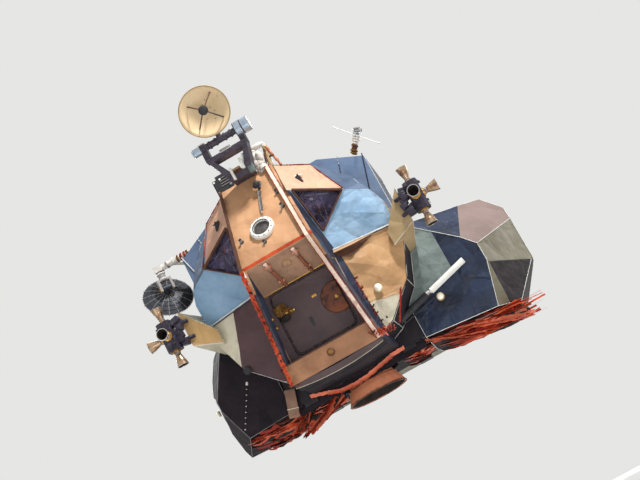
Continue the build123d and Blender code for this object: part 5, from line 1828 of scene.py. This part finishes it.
@dataclass
class Underside:
    """Torn film streaming under the bays and the belly, the skirt and the engine's trim.

    Fields:
        fan_lines: root, tip and number of the strips of each hanging fan, in inches.
        belly_curve: x and z of the salmon band over the engine bell, in inches.
        brace_ends: ends of the port brace, in inches.
        bell_rings: radius and height of the bell's stiffening rings, in inches.
        liner: profile of the bell's dark inside.
        lowest: the least height of the streamers, in inches.
        streams: name, corners, slopes, number, seed and reach of each field of streamers.
    """

    fan_lines: tuple[tuple[Place, Place, int], ...] = (
        ((-24, -30.5, 2.6), (-41, -15, -6.5), 9),
        ((-14, -30.0, -2.4), (-38, -10, -9.6), 11),
        ((-17, -12.0, -2.0), (-38, -6, -9.4), 6),
        ((-42, -20.0, -3.4), (-57, -20, -1.6), 7),
        ((38, -30.0, 0.6), (65, -8, -9.0), 9),
        ((50, -30.0, -0.8), (82, -8, -9.0), 11),
        ((63, -29.0, -2.4), (84, -4, -8.2), 8),
    )
    belly_curve: Profile = (
        (-26, 3.4), (-18, 1.2), (-11, -1.2), (-4, -1.8), (3, -1.3), (11, 0.3), (18, 1.7), (25, 2.2)
    )
    brace_ends: tuple[Place, Place] = ((27.5, -36, 12.7), (69.8, -36, 24))
    bell_rings: Profile = ((7.1, 8.4), (10.2, 4.3), (12.9, -0.4))
    liner: Profile = (
        (14.9, -6.6), (13.3, -2.6), (10.9, 2.0), (7.9, 6.5), (4.7, 10.5), (3.3, 12.8), (0, 12.9)
    )
    lowest: float = -6.8
    streams: tuple[tuple[str, Place, Place, tuple[float, float], int, int, float], ...] = (
        ("port_bay_streamers", (37, -32, 1), (88, 30, 0), (-0.101, -0.081), 130, 80, 28),
        ("starboard_bay_streamers", (-66, -32, -0.3), (-36, 30, 0), (0.044, -0.107), 90, 320, 18),
        ("belly_streamers", (-36, -27, 1.6), (-18, 22, 0), (0, 0), 50, 520, 13),
        ("belly_port_streamers", (18, -27, 1.6), (36, 22, 0), (0, 0), 50, 620, 13),
    )

    def belly(self) -> None:
        """Dark skirt with its salmon band, in place of the plain one."""
        skirt = Shape("belly_skirt_film", BAY_DARK_AND_PAINTED_SHADE)
        skirt.ribbon([at(-34.8, -28.6, -0.2), at(34.8, -28.6, -0.2)], Z_AXIS, 4.4, 0.006, 70, 0.03)
        lean = Vector((0, -0.4, 0.9))
        band_line = [at(x, -31.4, z) for x, z in self.belly_curve]
        edge_line = [at(x, -31.9, z - 0.9) for x, z in self.belly_curve[1:-1]]
        skirt.ribbon(band_line, lean, 1.9, 0.006, 71, 0.02, SALMON)
        skirt.ribbon(edge_line, lean, 0.6, 0.005, 72, 0.02, ORANGE)
        skirt.thicken(0.002)
        skirt.crumple(0.004, 16, 9)
        skirt.finish(stands_for=["belly_skirt"])

    def streamers(self, name: str, low: Vector, high: Vector, slopes: tuple[float, float], count: int,
                  seed: int, reach: float) -> None:
        """Long torn strips that hang under a sloped underside.

        Args:
            name: the piece's name.
            low: corner of the patch with the least x and y, in inches, its z the underside's height there.
            high: corner with the most x and y; its z isn't used.
            slopes: how the underside falls with x, and from the front or back edge to the middle.
            count: how many strips.
            seed: of their places.
            reach: longest strip in inches.
        """
        torn = Shape(name, ORANGE)
        draw = random.Random(seed)
        for k in range(count):
            length = draw.uniform(0.5, 1.0) * reach
            x = draw.uniform(low.x, high.x - length * 0.7)
            y = draw.uniform(low.y, high.y)
            slant = draw.uniform(-3.0, 5.0)
            route = []
            for share, drop in [
                (0, 0.0), (0.3, draw.uniform(0.3, 1.6)), (0.65, draw.uniform(0.2, 1.8)),
                (1, draw.uniform(0, 1.4))
            ]:
                along, across = x + length * share, y + slant * share
                under = low.z + slopes[0] * (along - low.x) + slopes[1] * (abs(low.y) - abs(across))
                route.append(at(along, across, max(under - 0.3 - drop, self.lowest)))
            torn.ribbon(
                route, Vector((0, 1, draw.uniform(-0.9, 0.9))), draw.uniform(0.8, 2.4), 0.004, seed + k, 0.04,
                draw.choice(TORN)
            )
        torn.thicken(0.001)
        torn.crumple(0.006, 14, seed)
        torn.finish()

    def fans(self) -> None:
        """Fans of broad strips under the belly's starboard end and the port bay, and a tan strap."""
        torn = Shape("hanging_film", SALMON)
        draw = random.Random(91)
        for start, end, count in self.fan_lines:
            for k in range(count):
                stray = Vector((draw.uniform(-3, 3), draw.uniform(0, 4), draw.uniform(-0.6, 0.6)))
                root = Vector(start) + stray
                stray = Vector((draw.uniform(-5, 5), draw.uniform(-6, 6), draw.uniform(-0.4, 2.4)))
                tip = Vector(end) + stray
                middle = root.lerp(tip, draw.uniform(0.35, 0.6)) - Vector((0, 0, draw.uniform(-0.4, 1.0)))
                lean = Vector((draw.uniform(-0.2, 0.4), 0.2, 1))
                torn.ribbon(
                    [root * IN, middle * IN, tip * IN], lean, draw.uniform(0.5, 1.8), 0.005, 91 + k, 0.03,
                    draw.choice((SALMON, SALMON, ORANGE, ORANGE, RED, SOOT))
                )
        torn.thicken(0.001)
        torn.crumple(0.006, 12, 4)
        lean = Matrix.Rotation(0.28, 3, "Y")
        torn.slab(at(-35.2, -32.8, 4.6), at(5.2, 1.4, 13.6), lean, 0.006, STRAP)
        torn.slab(at(-35.9, -33.0, 2.2), at(5.4, 1.5, 0.4), lean, 0.001, CREAM_AND_PAINTED_LIGHT)
        torn.finish()

    def brace(self) -> None:
        """Dark sleeve on the lower half of the port brace, its joint and its clamp."""
        sleeve = Shape("port_brace_sleeve", BLACK_BOX)
        root, tip = (at(*end) for end in self.brace_ends)
        sleeve.rod(root, root.lerp(tip, 0.46), 1.65, sides=24)
        sleeve.rod(root.lerp(tip, 0.46), root.lerp(tip, 0.5), 1.65, 1.2, 24)
        sleeve.rod(root.lerp(tip, 0.98), tip, 1.5, sides=24, finish=GREY)
        sleeve.rod(
            root + at(0, -1.75, 0.5), root.lerp(tip, 0.44) + at(0, -1.75, 0.5), 0.22, sides=8, finish=WHITE
        )
        sleeve.rod(at(29.5, -34.4, 11.0), at(49.7, -34.4, 15.4), 0.4, sides=10, finish=SIDE_TAN)
        sleeve.rod(at(65.7, -32.5, 17.7), at(77.2, -32.5, 11.4), 0.16, sides=8, finish=EDGE_WHITE)
        sleeve.finish()

    def engine(self) -> None:
        """Stiffening rings, rim and dark liner of the engine bell."""
        rings = Shape("engine_bell_rings", COPPER)
        for radius, z in self.bell_rings:
            rings.spun(at(0, 0, z), Z_AXIS, band(radius - 0.1, radius + 0.35, 0.3, 0.2), 64)
        rim = [(15.1, 0.3), (15.9, 0.2), (15.9, -0.1), (15.1, -0.05), (15.1, 0.3)]
        rings.spun(at(0, 0, -6.9), Z_AXIS, rim, 72, BROWN)
        rings.finish()
        liner = Shape("engine_bell_liner", SOOT)
        liner.spun(Vector(), Z_AXIS, self.liner, 64)
        liner.finish()

    def build(self) -> None:
        """Make the whole underside."""
        self.belly()
        self.fans()
        self.brace()
        for name, low, high, *rest in self.streams:
            self.streamers(name, Vector(low), Vector(high), *rest)
        self.engine()


@dataclass
class DeckAndBack:
    """Trim of the docking tunnel, its hatch, the deck and the equipment boxes at the back.

    Fields:
        ring_z: top of the tunnel's ring in inches.
        ring_r: middle radius of that ring in inches.
        deck_z: the deck's height in inches.
        boxes_y: where the equipment boxes face back, in inches.
        deck_lines: ends of the deck's seams along X and Y, in inches.
        columns: places of the equipment boxes along X, in inches.
        rows: their heights in inches.
    """

    ring_z: float = 115.0
    ring_r: float = 18.4
    deck_z: float = 106.0
    boxes_y: float = 65.5
    deck_lines: tuple[tuple[tuple[float, float], tuple[float, float]], ...] = (
        ((-31, -14), (-19, -14)), ((19, -14), (31, -14)),
        ((-31, 14), (-19, 14)), ((19, 14), (31, 14)),
        ((-24, -29), (-24, 26)), ((24, -29), (24, 26)),
    )
    columns: tuple[float, ...] = (-30, -10, 10, 30)
    rows: tuple[float, ...] = (28, 52, 76)

    def tunnel(self) -> None:
        """Bolts and latches round the ring, and the rings inside the bore."""
        up = Z_AXIS
        trim = Shape("docking_ring_trim", GREY)
        for k, spoke in enumerate(spokes(X_AXIS, Y_AXIS, 24)):
            foot = spoke * self.ring_r * IN + up * self.ring_z * IN
            if k % 2:
                trim.rod(foot, foot + up * 0.4 * IN, 0.45, sides=6)
            else:
                turn = Matrix.Rotation(k * math.tau / 24, 3, "Z")
                trim.slab(foot + up * 0.35 * IN, at(2.2, 2.6, 0.9), turn, 0.004, BARE)
                trim.slab(
                    spoke * 19.0 * IN + up * (self.deck_z + 3.6) * IN, at(1.0, 1.6, 5.4), turn, 0.004,
                    RADAR_GREY
                )
        for z in (108, 111.5, 113.6):
            trim.spun(up * z * IN, up, band(16.0, 15.6, 0.3, 0.2), 64, DARK_EDGE)
        skirt = [(18.5, 1.1), (20.2, 0.4), (20.6, 0.1), (18.5, 0.1)]
        trim.spun(up * self.deck_z * IN, up, skirt, 64, EDGE_WHITE)
        trim.finish()
        handle = Shape("overhead_hatch_handle", GREY)
        top = self.deck_z - 2.2
        handle.spun(at(0, 0, top), up, [(7.4, 0), (7.4, 0.3), (6.6, 0.4), (6.6, 0)], 48, EDGE_WHITE)
        handle.spun(at(5.5, 4.5, top), up, [(2.0, 0), (1.9, 0.6), (0, 0.7)], 24, BRASS)
        for x in (-4.0, 4.0):
            handle.rod(at(x, -3.5, top), at(x, -3.5, top + 1.6), 0.4, sides=12)
        handle.rod(at(-4.4, -3.5, top + 1.6), at(4.4, -3.5, top + 1.6), 0.45, sides=12, finish=ORANGE)
        handle.finish(Body.OVERHEAD_HATCH)

    def deck(self) -> None:
        """Seams with their fasteners across the deck."""
        seams = Shape("deck_seams", DARK_EDGE)
        for start, end in self.deck_lines:
            ends = at(*start, self.deck_z + 0.15), at(*end, self.deck_z + 0.15)
            seams.rod(*ends, 0.22, sides=6)
            count = max(2, round((ends[1] - ends[0]).length / (4 * IN)))
            for k in range(count + 1):
                spot = ends[0].lerp(ends[1], k / count)
                seams.rod(spot, spot + at(0, 0, 0.3), 0.42, sides=8, finish=EDGE_WHITE)
        seams.finish()

    def back(self) -> None:
        """Fins, screws and cables on the equipment boxes."""
        fins = Shape("equipment_fins", RADAR_GREY)
        draw = random.Random(41)
        for x, z in [(x, z) for x in self.columns for z in self.rows]:
            finish = draw.choice((RADAR_GREY, BLACK_BOX, GREY))
            for k in range(9):
                fin = at(x - 6.4 + k * 1.6, self.boxes_y + 0.35, z + 1.5)
                fins.slab(fin, at(0.35, 0.9, 14.5), bevel=0.001, finish=finish)
            for side in SIDES:
                for lift in (-9.3, 9.3):
                    foot, head = (at(x + side * 7.2, self.boxes_y + out, z + lift) for out in (-0.1, 0.25))
                    fins.rod(foot, head, 0.42, sides=6, finish=BARE)
                plug = at(x + side * 3.6, self.boxes_y - 0.2, z - 8.4)
                fins.rod(plug, plug + at(0, 1.3, 0), 0.9, 0.75, 16, BRASS)
                bend = plug + at(side * 1.2, 1.5, -2.4)
                far = at(x + side * 9.6, self.boxes_y - 1.6, z - 12.0)
                for start, end in ((plug + at(0, 1.2, 0), bend), (bend, far)):
                    fins.rod(start, end, 0.4, sides=8, finish=WHITE_WRAP)
        fins.finish()

    def build(self) -> None:
        """Make the trim of the top and the back."""
        self.tunnel()
        self.deck()
        self.back()


def main() -> None:
    """Build the studio and the craft, piece by piece."""
    logging.basicConfig(level=logging.INFO, format="%(name)s %(message)s")
    Studio(place=at(75.8, -616.4, -95.3)).build()
    for name, finish in NODE_FINISH.items():
        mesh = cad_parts[name].data
        mesh.materials.clear()
        mesh.materials.append(finish.material())
    corners = (at(17, -73.5, 84.7), at(37.6, -63.2, 75.5), at(20.4, -66.9, 60.9))
    sections = [
        PressureShell(nose_heart=at(0, -60, 60), cabin_heart=at(0, -45, 54), middle_heart=at(0, -2, 54)),
        NoseColumn(),
        ForwardHatch(middle=Vector((0, -70, 31))),
        Windows(corners),
        Radar(shaft=Vector((0, -78, 122))),
        SteerableAntenna(pivot=Vector((-67, -24, 89))),
        Whips(),
        Lamps(),
        Quads(place=Vector((66.1, 66.1, 54.3)), half=Vector((3.4, 3.4, 7.4))),
        Underside(),
        DeckAndBack(),
    ]
    for section in sections:
        section.build()


if __name__ == "__main__":
    main()
